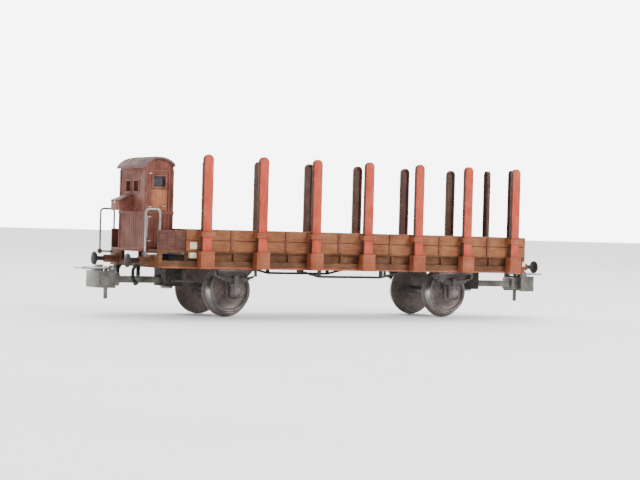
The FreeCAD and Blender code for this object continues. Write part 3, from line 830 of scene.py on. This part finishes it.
@dataclass
class Stakes:
    """The lift-out stakes and the pockets that hold them.

    Args:
        edge: Radius of a stake's moulded edges.
        pocket_edge: Radius of a pocket's edges.
        rivet: Diameter of a pocket rivet.
        rivet_x: Distance of a rivet from its stake's middle.
        foot_rivets: Heights of the rivets over the pocket's foot.
        strap_rivet: Distance of the strap's rivets from its top.
    """

    edge: float = 0.16
    pocket_edge: float = 0.1
    rivet: float = 0.42
    rivet_x: float = 1.1
    foot_rivets: tuple[float, float] = (0.7, 3.4)
    strap_rivet: float = 0.6

    def build(self) -> None:
        """Makes the stakes and their pockets."""
        for node in sorted(n for n in frame["nodes"] if n.startswith("stake_") and "pockets" not in n):
            keep(node + "_bar", self.stake(node), node + "_body", (node,))
        self.side_pockets()
        keep("stake_pockets_end_cast", from_node("stake_pockets_end", POCKET, self.pocket_edge), WAGON,
             ("stake_pockets_end",))

    def stake(self, node: str) -> bpy.types.Mesh:
        """Makes one stake with its outer face in the plain stake colour and its other faces in painted shade.

        Args:
            node: The CAD node that it stands for.

        Returns:
            The stake's mesh.
        """
        low, high = extent(node)
        middle = (low + high) / 2
        outwards = Vector((1, 0, 0)) if "_end_" in node else Vector((0, math.copysign(1.0, middle.y), 0))
        mesh = from_node(node, STAKE, self.edge, 3)
        mesh.materials.append(STAKE_PAINTED_SHADE.material())
        # Faces that don't face outward, apart from the tops, get the painted-shade copy of the stake colour.
        for face in mesh.polygons:
            face.material_index = int(face.normal.dot(outwards) < 0.35 and face.normal.z < 0.6)
        return mesh

    def side_pockets(self) -> None:
        """Makes the pockets of both long sides with their rivets."""
        node = "stake_pockets_side"
        low, high = extent(node)
        parts = [from_node(node, POCKET, self.pocket_edge)]
        for name, side in SIDES.items():
            centres = stake_centres(name)
            pitch = centres[1] - centres[0]
            face = side * high.y
            for z in (*(low.z + foot for foot in self.foot_rivets), high.z - self.strap_rivet):
                for offset in (-self.rivet_x, self.rivet_x):
                    parts.append(row(Unit.DOME, (centres[0] + offset, face, z), (pitch, 0, 0),
                                     (self.rivet, 0.22, self.rivet), len(centres), POCKET))
        keep(node + "_cast", put_together(parts), WAGON, (node,))


# ---------------------------------------------------------------- cab and platform


@dataclass
class Cab:
    """The brakeman's cab on its platform.

    Args:
        strip: Width of a frame strip round a door or window.
        proud: How far the strips stand out of the wall.
        door_half: Half the width of a door.
        door_z: Foot and head of a door.
        side_window_x: Edges of a side window along the car.
        side_window_z: Its foot and head.
        door_panel_z: Foot and head of a door's upper panel.
        hinge_z: Heights of a door's hinges.
        end_window_y: Edges of an end window, from the middle.
        end_window_z: Its foot and head.
        rivet_z: Heights of the rivet rows on the side walls.
        roof_r: Radius of the roof's arch.
    """

    strip: float = 0.36
    proud: float = 0.14
    door_half: float = 2.35
    door_z: tuple[float, float] = (17.0, 35.0)
    side_window_x: tuple[float, float] = (-52.1, -48.9)
    side_window_z: tuple[float, float] = (31.3, 33.8)
    door_panel_z: tuple[float, float] = (25.7, 30.6)
    hinge_z: tuple[float, ...] = (18.2, 24.0, 26.4, 34.4)
    end_window_y: tuple[float, float] = (0.9, 3.6)
    end_window_z: tuple[float, float] = (30.1, 32.6)
    rivet_z: tuple[float, float] = (16.9, 24.98)
    roof_r: float = 5.38

    def build(self) -> None:
        """Makes the cab, its doors, roof and locker and the platform round it."""
        self.walls()
        self.roof()
        keep("cab_glazing_panes", from_node("cab_glazing", PANE, 0.0), WAGON,
             ("cab_glazing",))
        self.locker()
        keep("platform_floor_boards", from_node("platform_floor", FRAME_PAINTED_SHADE, 0.08), WAGON,
             ("platform_floor",))
        self.panels()
        keep("side_steps_irons", from_node("side_steps", FRAME_BLACK, 0.07), WAGON,
             ("side_steps",))
        self.handrails()
        self.hose()

    def frame_strips(self, across: tuple[float, float],
                     z: tuple[float, float]) -> list[tuple[float, float, float, float]]:
        """Lays out the four strips of a rectangular frame.

        Args:
            across: Inner edges along the wall, in millimetres.
            z: Inner bottom and top edges, in millimetres.

        Returns:
            Each strip's two edges along the wall and its bottom and top.
        """
        strip = self.strip
        return [(across[0] - strip, across[0], z[0] - strip, z[1] + strip),
                (across[1], across[1] + strip, z[0] - strip, z[1] + strip),
                (across[0], across[1], z[0] - strip, z[0]), (across[0], across[1], z[1], z[1] + strip)]

    def frame_round(self, side: float, x: tuple[float, float], z: tuple[float, float],
                    wall: float) -> bmesh.types.BMesh:
        """Makes a rectangular frame on a side wall.

        Args:
            side: -1 for near, 1 for far.
            x: Inner edges along the car, in millimetres.
            z: Inner bottom and top edges, in millimetres.
            wall: Distance of the wall's face from the middle, in millimetres.

        Returns:
            The frame's four strips.
        """
        shape = bmesh.new()
        y0, y1 = sorted((side * (wall - 0.05), side * (wall + self.proud)))
        for x0, x1, z0, z1 in self.frame_strips(x, z):
            add_block(shape, (x0, y0, z0), (x1, y1, z1))
        return shape

    def walls(self) -> None:
        """Makes the walls, the door frames and panels on both sides and the window frames."""
        low, high = extent("cab_walls")
        wall = high.y - 0.25
        middle = (low.x + high.x) / 2
        parts = [from_node("cab_walls", CAB, 0.05)]
        door = (middle - self.door_half, middle + self.door_half)
        for side in SIDES.values():
            parts.append(softened(self.frame_round(side, door, self.door_z, wall), CAB_TRIM, 0.06))
            window = self.frame_round(side, self.side_window_x, self.side_window_z, wall)
            parts.append(softened(window, CAB_TRIM, 0.05))
            panel = bmesh.new()
            y0, y1 = sorted((side * (wall - 0.1), side * (wall + 0.08)))
            z0, z1 = self.door_panel_z
            add_block(panel, (door[0] + 0.3, y0, z0), (door[1] - 0.3, y1, z1))
            parts.append(softened(panel, CAB_LIGHT, 0.06))
            for z in self.hinge_z:
                parts.append(row(Unit.BOARD, (door[0] - 0.1, side * (wall + 0.12), z), (0, 0, 0.45),
                                 (0.9, 0.18, 0.26), 1, STEEL, edge_mm=0.05))
            lever = [(door[1] - 0.7, side * wall, 26.6), (door[1] - 0.7, side * (wall + 0.35), 26.6),
                     (door[1] - 1.9, side * (wall + 0.35), 26.6)]
            parts.append(wire(lever, 0.13, 0.12, WIRE))
            bar_x = door[0] - 0.75
            rail = [(bar_x, side * wall, 19.0), (bar_x, side * (wall + 0.5), 19.0),
                    (bar_x, side * (wall + 0.5), 24.2), (bar_x, side * wall, 24.2)]
            parts.append(wire(rail, 0.12, 0.2, WIRE))
        for x, outward in ((low.x + 0.25, -1.0), (high.x - 0.25, 1.0)):
            for side in SIDES.values():
                shape = bmesh.new()
                edges = tuple(sorted(side * y for y in self.end_window_y))
                x0, x1 = sorted((x - outward * 0.05, x + outward * self.proud))
                for y0, y1, z0, z1 in self.frame_strips(edges, self.end_window_z):
                    add_block(shape, (x0, y0, z0), (x1, y1, z1))
                parts.append(softened(shape, CAB_TRIM, 0.05))
        for z in self.rivet_z:
            for side in SIDES.values():
                parts.append(row(Unit.DOME, (low.x + 0.8, side * high.y, z), (1.05, 0, 0),
                                 (0.26, 0.16, 0.26), 7, CAB_TRIM))
        keep("cab_shell", put_together(parts), WAGON, ("cab_walls",))

    def roof(self) -> None:
        """Makes the roof sheet with rain strips over both doors."""
        low, high = extent("cab_roof")
        parts = [from_node("cab_roof", ROOF, 0.1, 3)]
        middle = sum(corner.x for corner in extent("cab_walls")) / 2
        crown = high.z + 0.02
        for y in (low.y + 2.7, low.y + 5.4, 0.0, high.y - 5.4, high.y - 2.7):
            arch = []
            for i in range(9):
                x = -3.6 + 0.9 * i
                arch.append((middle + x, y, crown - (self.roof_r - math.sqrt(self.roof_r ** 2 - x * x))))
            parts.append(wire(arch, 0.11, 0.2, ROOF))
        keep("cab_roof_sheet", put_together(parts), WAGON, ("cab_roof",))

    def locker(self) -> None:
        """Makes the locker with its lid and catch."""
        low, high = extent("cab_box")
        parts = [from_node("cab_box", CAB_TRIM, 0.12)]
        drop = 1.5
        rise = Vector((0, 0, 0.14))
        lid = bmesh.new()
        lip = 0.15
        edge_z = high.z - drop - 0.05
        corners = [Vector((low.x - lip, low.y - lip, edge_z)), Vector((high.x, low.y - lip, high.z)),
                   Vector((high.x, high.y + lip, high.z)), Vector((low.x - lip, high.y + lip, edge_z))]
        under = [lid.verts.new(c * MM) for c in corners]
        over = [lid.verts.new((c + rise * 1.6) * MM) for c in corners]
        lid.faces.new(under[::-1])
        lid.faces.new(over)
        for i in range(4):
            j = (i + 1) % 4
            lid.faces.new((under[i], under[j], over[j], over[i]))
        parts.append(softened(lid, CAB, 0.06))
        catch = bmesh.new()
        middle = (low.y + high.y) / 2
        add_block(catch, (low.x - 0.14, middle - 0.3, 27.0), (low.x + 0.1, middle + 0.3, 27.9))
        parts.append(softened(catch, WIRE, 0.05))
        keep("cab_locker", put_together(parts), WAGON, ("cab_box",))

    def panels(self) -> None:
        """Makes the low platform panels with their top rail and uprights."""
        low, high = extent("platform_panels")
        # The panels and their uprights are dark brown as painted shade on the platform's sides.
        parts = [from_node("platform_panels", DARK_BROWN_AND_SHADE, 0.08)]
        for side in SIDES.values():
            face = side * high.y
            parts.append(row(Unit.BOARD, (low.x + 0.5, face, (low.z + high.z) / 2), (2.05, 0, 0),
                             (0.5, 0.16, high.z - low.z - 0.2), 4, DARK_BROWN_AND_SHADE, edge_mm=0.05))
            cap = bmesh.new()
            y0, y1 = sorted((side * (high.y - 0.8), side * (high.y + 0.15)))
            add_block(cap, (low.x, y0, high.z - 0.1), (high.x, y1, high.z + 0.2))
            parts.append(softened(cap, CAB, 0.07))
        keep("platform_side_panels", put_together(parts), WAGON, ("platform_panels",))

    def handrails(self) -> None:
        """Makes the two wire handrail bows with a knob on each lower bend."""
        low, high = extent("handrails")
        start = extent("platform_floor")[0].x
        foot = 15.2
        knob_r = 0.65
        out = low.x + knob_r
        y = high.y - knob_r
        top = high.z - 0.3
        parts = []
        for side in SIDES.values():
            route = [(start, side * y, foot), (out, side * y, foot), (out, side * y, top),
                     (start + 0.5, side * y, top), (start + 0.5, side * y, extent("platform_panels")[1].z)]
            parts.append(wire(route, 0.26, 0.9, WIRE))
            ball = [(0.0, -knob_r)]
            for i in range(1, 12):
                angle = math.pi * i / 12
                ball.append((knob_r * math.sin(angle), -knob_r * math.cos(angle)))
            ball.append((0.0, knob_r))
            parts.append(turned(ball, Vector((1, 0, 0)), Vector((out, side * y, foot)) * MM, GEAR_BLACK, 24))
        keep("handrail_bows", put_together(parts), WAGON, ("handrails",))

    def hose(self) -> None:
        """Makes the brake hose with its cock and coupling."""
        low, high = extent("brake_hose")
        y = (low.y + high.y) / 2
        top, foot = high.z - 0.5, low.z + 0.25
        out = low.x + 0.5
        route = [(high.x, y, top), (out + 0.9, y, top), (out, y, top - 1.3), (out, y, foot + 1.4),
                 (out + 0.9, y, foot)]
        parts = [wire(route, 0.42, 0.5, HOSE)]
        collar = [(0, 0), (0.62, 0), (0.7, 0.1), (0.7, 0.6), (0.6, 0.7), (0, 0.7)]
        parts.append(turned(collar, Vector((-1, 0, 0)), Vector((high.x, y, top)) * MM, GEAR_BLACK, 24))
        tip = [(0, -0.25), (0.5, -0.25), (0.62, -0.1), (0.62, 0.45), (0.45, 0.6), (0, 0.6)]
        slope = Vector((-0.9, 0, 1.4)).normalized()
        parts.append(turned(tip, slope, Vector((out + 0.9, y, foot)) * MM, GEAR_BLACK, 24))
        keep("brake_hose_line", put_together(parts), WAGON, ("brake_hose",))


# ---------------------------------------------------------------- running gear


@dataclass
class RunningGear:
    """The wheelsets and the guards, boxes and springs that carry the car on them.

    Args:
        leaf_thick: Thickness of one spring leaf.
        leaf_count: Leaves in each spring.
        leaf_half: Half the length of the top leaf.
        leaf_step: How much shorter each leaf is than the one above, at each end.
        tread_skin: How far the bright tread stands over the painted wheel.
        guard_half: Half the length of a guard's top.
        box_half: Half the width of an axle box.
        box_z: Foot and top of an axle box.
        box_face: Distance of an axle box's face from the middle.
        hanger_x: Distance of a spring hanger from the axle.
    """

    leaf_thick: float = 0.26
    leaf_count: int = 5
    leaf_half: float = 5.9
    leaf_step: float = 1.0
    tread_skin: float = 0.012
    guard_half: float = 5.2
    box_half: float = 1.45
    box_z: tuple[float, float] = (5.1, 8.1)
    box_face: float = 13.0
    hanger_x: float = 5.6

    def build(self) -> None:
        """Makes both wheelsets and all four axle guards."""
        for end in ENDS:
            centre = self.axle(end)
            for side_name, side in SIDES.items():
                self.wheel(f"wheel_{end}_{side_name}", side, centre, "wheelset_" + end)
                self.guard(f"axle_guard_{end}_{side_name}", side, centre)

    def axle(self, end: str) -> Vector:
        """Turns one axle.

        Args:
            end: "brake" or "plain".

        Returns:
            The axle's middle, in millimetres.
        """
        node = "axle_" + end
        low, high = extent(node)
        centre = (low + high) / 2
        radius = (high.z - low.z) / 2
        tip = high.y
        neck = tip - 1.8
        section = [(0, -tip), (0.28, -tip), (0.5, -tip + 0.35), (0.5, -neck - 0.1), (radius, -neck),
                   (radius, neck), (0.5, neck + 0.1), (0.5, tip - 0.35), (0.28, tip), (0, tip)]
        mesh = turned(section, Vector((0, 1, 0)), centre * MM, STEEL, 48)
        keep(node + "_turned", mesh, "wheelset_" + end, (node,))
        return centre

    def wheel(self, node: str, side: float, centre: Vector, body: str) -> None:
        """Turns one wheel with a rounded flange, a bright tread, a dished web and a hub.

        Args:
            node: The CAD node that it stands for.
            side: -1 for near, 1 for far.
            centre: The axle's middle, in millimetres.
            body: The wheelset that it rides on.
        """
        low, high = extent(node)
        flange = (high.z - low.z) / 2
        tread = flange - 1.0
        back, front = sorted((abs(low.y), abs(high.y)))
        section = [(1.0, back), (flange - 0.45, back), (flange - 0.2, back + 0.05),
                   (flange - 0.04, back + 0.2), (flange, back + 0.34), (flange - 0.06, back + 0.5),
                   (flange - 0.3, back + 0.72),
                   (tread + 0.34, back + 0.82), (tread + 0.14, back + 0.95), (tread + 0.06, back + 1.15),
                   (tread - 0.08, front - 0.12), (tread - 0.18, front), (tread - 0.78, front),
                   (tread - 0.9, front - 0.1), (tread - 1.02, front - 0.5), (tread - 1.2, front - 0.62),
                   (3.4, front - 0.78), (2.5, front - 0.66), (2.1, front - 0.5), (1.95, front - 0.1),
                   (1.82, front), (1.0, front), (1.0, back)]
        axis = Vector((0, side, 0))
        parts = [turned(section, axis, centre * MM, WHEEL, 96)]
        skin = self.tread_skin
        band = [(tread + 0.30 + skin, back + 0.82), (tread + 0.14 + skin, back + 0.95),
                (tread + 0.06 + skin, back + 1.15), (tread - 0.08 + skin, front - 0.12),
                (tread - 0.3, front - 0.2), (tread - 0.3, back + 0.9), (tread + 0.30 + skin, back + 0.82)]
        parts.append(turned(band, axis, centre * MM, BRIGHT, 96))
        face = front + skin
        ring = [(tread - 0.22, face - 0.03), (tread - 0.26, face), (tread - 0.70, face),
                (tread - 0.74, face - 0.03), (tread - 0.5, front - 0.3), (tread - 0.22, face - 0.03)]
        parts.append(turned(ring, axis, centre * MM, RIM, 96))
        keep(node + "_turned", put_together(parts), body, (node,))

    def leaf(self, centre_x: float, half: float, y: tuple[float, float], crown: float, sag: float,
             shape: bmesh.types.BMesh) -> None:
        """Adds one curved spring leaf.

        Args:
            centre_x: Middle of the leaf along the car, in millimetres.
            half: Half its length.
            y: Its two edges across the car.
            crown: Height of its middle.
            sag: How far its ends stand above its middle at the top leaf's full length.
            shape: Where it is added.
        """
        steps = 12
        rings = []
        for i in range(steps + 1):
            x = -half + 2 * half * i / steps
            z = crown + sag * (x / self.leaf_half) ** 2
            corners = ((y[0], z), (y[1], z), (y[1], z + self.leaf_thick), (y[0], z + self.leaf_thick))
            rings.append([shape.verts.new(Vector((centre_x + x, cy, cz)) * MM) for cy, cz in corners])
        for a, b in zip(rings, rings[1:]):
            for i in range(4):
                j = (i + 1) % 4
                shape.faces.new((a[i], a[j], b[j], b[i]))
        shape.faces.new(rings[0][::-1])
        shape.faces.new(rings[-1])

    def guard(self, node: str, side: float, centre: Vector) -> None:
        """Makes one axle guard with its leaf spring, axle box, shackles and bolts.

        Args:
            node: The CAD node that it stands for.
            side: -1 for near, 1 for far.
            centre: The axle's middle, in millimetres.
        """
        low, high = extent(node)
        inner, outer = sorted((abs(low.y), abs(high.y)))
        top = high.z
        plate_out = inner + 0.7
        x = centre.x
        plate = bmesh.new()
        half = self.guard_half
        left = [(-half, top), (-4.7, top - 1.0), (-3.2, top - 2.3), (-2.2, top - 3.6), (-2.1, low.z + 0.3),
                (-1.7, low.z)]
        outline = left + [(-px, pz) for px, pz in reversed(left)]
        back = [plate.verts.new(Vector((x + px, side * inner, pz)) * MM) for px, pz in outline]
        front = [plate.verts.new(Vector((x + px, side * plate_out, pz)) * MM) for px, pz in outline]
        plate.faces.new(back)
        plate.faces.new(front)
        for i in range(len(outline)):
            j = (i + 1) % len(outline)
            plate.faces.new((back[i], back[j], front[j], front[i]))
        parts = [softened(plate, GEAR_BLACK, 0.07)]
        body = bmesh.new()
        y0, y1 = sorted((side * inner, side * (outer + 0.1)))
        add_block(body, (x - half, y0, top - 0.5), (x + half, y1, top))
        y0, y1 = sorted((side * (plate_out - 0.1), side * self.box_face))
        add_block(body, (x - self.box_half, y0, self.box_z[0]), (x + self.box_half, y1, self.box_z[1]))
        y0, y1 = sorted((side * (plate_out - 0.1), side * 13.15))
        add_block(body, (x - 1.75, y0, 7.7), (x + 1.75, y1, 8.2))
        add_block(body, (x - 0.6, y0, 8.0), (x + 0.6, y1, 10.15))
        for hanger in (-self.hanger_x, self.hanger_x):
            y2, y3 = sorted((side * plate_out, side * 12.8))
            add_block(body, (x + hanger - 0.24, y2, 10.1), (x + hanger + 0.24, y3, top))
        parts.append(softened(body, GEAR_BLACK, 0.09))
        spring = bmesh.new()
        edges = tuple(sorted((side * (plate_out + 0.1), side * 12.85)))
        for i in range(self.leaf_count):
            self.leaf(x, self.leaf_half - self.leaf_step * i, edges, 9.45 - 0.3 * i, 0.75, spring)
        parts.append(softened(spring, SPRING, 0.05, 1))
        cap = [(0, -0.2), (1.15, -0.2), (1.15, 0.05), (1.0, 0.22), (0.62, 0.3), (0.5, 0.42), (0, 0.42)]
        face = side * self.box_face
        parts.append(turned(cap, Vector((0, side, 0)), Vector((x, face, centre.z)) * MM, BOX_CAP, 32))
        for z in (5.45, 7.4):
            parts.append(row(Unit.DOME, (x - 1.15, face, z), (2.3, 0, 0), (0.36, 0.24, 0.36), 2, GEAR_BLACK))
        parts.append(row(Unit.DOME, (x - 4.2, side * plate_out, top - 0.95), (2.8, 0, 0), (0.4, 0.26, 0.4), 4,
                         GEAR_BLACK))
        keep(node + "_cast", put_together(parts), WAGON, (node,))


# ---------------------------------------------------------------- couplers and buffers


@dataclass
class Couplers:
    """The swinging couplers, their housings and wire loops, and the buffers.

    Args:
        wire_r: Radius of the loop's wire.
        pin_r: Radius of the trip pin.
    """

    wire_r: float = 0.27
    pin_r: float = 0.5

    def build(self) -> None:
        """Makes both couplers and all the buffers."""
        for name, end in ENDS.items():
            head = "coupler_head_" + name
            keep(head + "_cast", from_node(head, COUPLER, 0.13, 3), "coupler_" + name,
                 (head,))
            self.loop(name, end)
            box = "coupler_box_" + name
            keep(box + "_moulded", from_node(box, FRAME_BLACK, 0.12), WAGON, (box,))
        keep("coupler_pivot_screws", from_node("coupler_pivots", STEEL, 0.06), WAGON,
             ("coupler_pivots",))
        self.buffers()

    def loop(self, name: str, end: float) -> None:
        """Bends one loop with its hinge and its round-ended trip pin.

        Args:
            name: "brake" or "plain".
            end: -1 for the brake end, 1 for the plain end.
        """
        node = "coupler_loop_" + name
        low, high = extent(node)
        hinge = next(Vector(j["pos_m"]) / MM for j in frame["joints"] if j["name"] == f"loop_{name}_lift")
        tip = end * (max(abs(low.x), abs(high.x)) - self.wire_r - 0.05)
        arm = high.y - 1.05
        route = [(hinge.x, -arm, hinge.z), (tip, -arm, hinge.z), (tip, arm, hinge.z), (hinge.x, arm, hinge.z)]
        parts = [wire(route, self.wire_r, 0.7, WIRE),
                 wire([(hinge.x, low.y, hinge.z), (hinge.x, high.y, hinge.z)], 0.32, 0.1, WIRE)]
        length = hinge.z + 0.4 - low.z
        radius = self.pin_r
        pin = [(0, 0), (radius * 0.7, 0), (radius, 0.15), (radius, length - 0.35),
               (radius * 0.7, length - 0.08), (0, length)]
        parts.append(turned(pin, Vector((0, 0, -1)), Vector((hinge.x, 0, hinge.z + 0.4)) * MM, COUPLER, 24))
        keep(node + "_wire", put_together(parts), "coupling_loop_" + name, (node,))

    def buffers(self) -> None:
        """Turns the four buffers with domed heads."""
        low, high = extent("buffers")
        face = high.x
        y = high.y - 1.65
        z = (low.z + high.z) / 2
        root = extent("headstock_plain")[1].x - 1.1 - face
        section = [(0, root), (0.55, root), (0.55, -0.95), (0.75, -0.82), (1.5, -0.8), (1.65, -0.7),
                   (1.65, -0.42), (1.55, -0.27), (1.2, -0.14), (0.7, -0.05), (0, 0)]
        parts = [turned(section, Vector((end, 0, 0)), Vector((end * face, side * y, z)) * MM, FRAME_BLACK, 48)
                 for end in ENDS.values() for side in SIDES.values()]
        keep("buffers_turned", put_together(parts), WAGON, ("buffers",))


# ---------------------------------------------------------------- studio


@dataclass
class Studio:
    """The camera, the lights and the pale floor.

    Args:
        heading_deg: Direction that the camera looks in, from +Y towards +X.
        pitch_deg: How far it looks up.
        roll_deg: How far it is turned about its own axis.
        place_mm: Where it stands.
        lens_mm: Its focal length on a 36 mm sensor.
        backdrop_towards: Direction of the middle of the bright backdrop.
        backdrop_light: Strength of the world there.
        room_light: Strength of the world all round the rest.
        floor_half_m: Half the width of the floor, in metres.
        aim_m: The point that the lights look at, in metres.
    """

    heading_deg: float = 30.0
    pitch_deg: float = -0.4
    roll_deg: float = 1.6
    place_mm: tuple[float, float, float] = (-242.0, -417.0, 22.7)
    lens_mm: float = 105.4
    backdrop_towards: tuple[float, float, float] = (0.5, 0.866, 0.0)
    backdrop_light: float = 7.0
    room_light: float = 0.42
    floor_half_m: float = 4.0
    aim_m: tuple[float, float, float] = (0.0, 0.0, 0.02)

    def build(self) -> None:
        """Sets up the whole studio."""
        self.camera()
        self.floor()
        self.lights()

    def camera(self) -> None:
        """Makes the camera and sets it as the scene's."""
        data = bpy.data.cameras.new("camera")
        data.sensor_width = 36.0
        data.lens = self.lens_mm
        data.clip_start = 0.01
        data.clip_end = 20.0
        camera = bpy.data.objects.new("camera", data)
        bpy.context.scene.collection.objects.link(camera)
        camera.location = Vector(self.place_mm) * MM
        turn = Matrix.Rotation(math.radians(-self.heading_deg), 4, "Z")
        tilt = Matrix.Rotation(math.radians(90.0 + self.pitch_deg), 4, "X")
        roll = Matrix.Rotation(math.radians(self.roll_deg), 4, "Z")
        camera.rotation_euler = (turn @ tilt @ roll).to_euler()
        bpy.context.scene.camera = camera

    def floor(self) -> None:
        """Lays a wide pale floor with a faint mottle."""
        shape = bmesh.new()
        bmesh.ops.create_grid(shape, x_segments=1, y_segments=1, size=self.floor_half_m)
        mesh = bpy.data.meshes.new("floor")
        shape.to_mesh(mesh)
        shape.free()
        paper = Finish("pale_floor", (0.90, 0.90, 0.90), (0.93, 0.93, 0.93), (0.95, 0.95, 0.95),
                       rough=(0.8, 0.95), grain_per_m=300.0, patch_per_m=20.0, relief_mm=0.002)
        mesh.materials.append(paper.material())
        floor = bpy.data.objects.new("floor", mesh)
        bpy.context.scene.collection.objects.link(floor)

    def lights(self) -> None:
        """Hangs a large key light to the right front, a fill to the left and a soft top light."""
        world = bpy.data.worlds.new("studio")
        world.use_nodes = True
        nodes, links = world.node_tree.nodes, world.node_tree.links
        sky = nodes["Background"]
        sky.inputs["Color"].default_value = (1.0, 1.0, 1.0, 1.0)
        place = nodes.new("ShaderNodeTexCoord")
        facing = nodes.new("ShaderNodeVectorMath")
        facing.operation = "DOT_PRODUCT"
        facing.inputs[1].default_value = self.backdrop_towards
        links.new(place.outputs["Generated"], facing.inputs[0])
        glow = nodes.new("ShaderNodeMapRange")
        glow.interpolation_type = "SMOOTHSTEP"
        glow.inputs["From Min"].default_value = 0.1
        glow.inputs["From Max"].default_value = 0.80
        glow.inputs["To Min"].default_value = self.room_light
        glow.inputs["To Max"].default_value = self.backdrop_light
        links.new(facing.outputs["Value"], glow.inputs["Value"])
        links.new(glow.outputs["Result"], sky.inputs["Strength"])
        bpy.context.scene.world = world
        for name, place, size, power in (("key", (0.42, -0.80, 0.50), 0.40, 10.0),
                                         ("fill", (-0.65, -0.60, 0.35), 0.60, 0.6),
                                         ("top", (0.0, 0.1, 0.9), 0.70, 4.0)):
            data = bpy.data.lights.new(name, "AREA")
            data.size = size
            data.energy = power
            lamp = bpy.data.objects.new(name, data)
            bpy.context.scene.collection.objects.link(lamp)
            lamp.location = place
            aim = Vector(self.aim_m) - Vector(place)
            lamp.rotation_euler = aim.to_track_quat("-Z", "Y").to_euler()


# ---------------------------------------------------------------- all of it


def main() -> None:
    """Builds the studio and every sub-assembly in order."""
    logging.basicConfig(level=logging.INFO, format="%(message)s")
    Studio().build()
    for assembly in (Bed(), Stakes(), Cab(), RunningGear(), Couplers()):
        log.info("building %s", type(assembly).__name__)
        assembly.build()


if __name__ == "__main__":
    main()
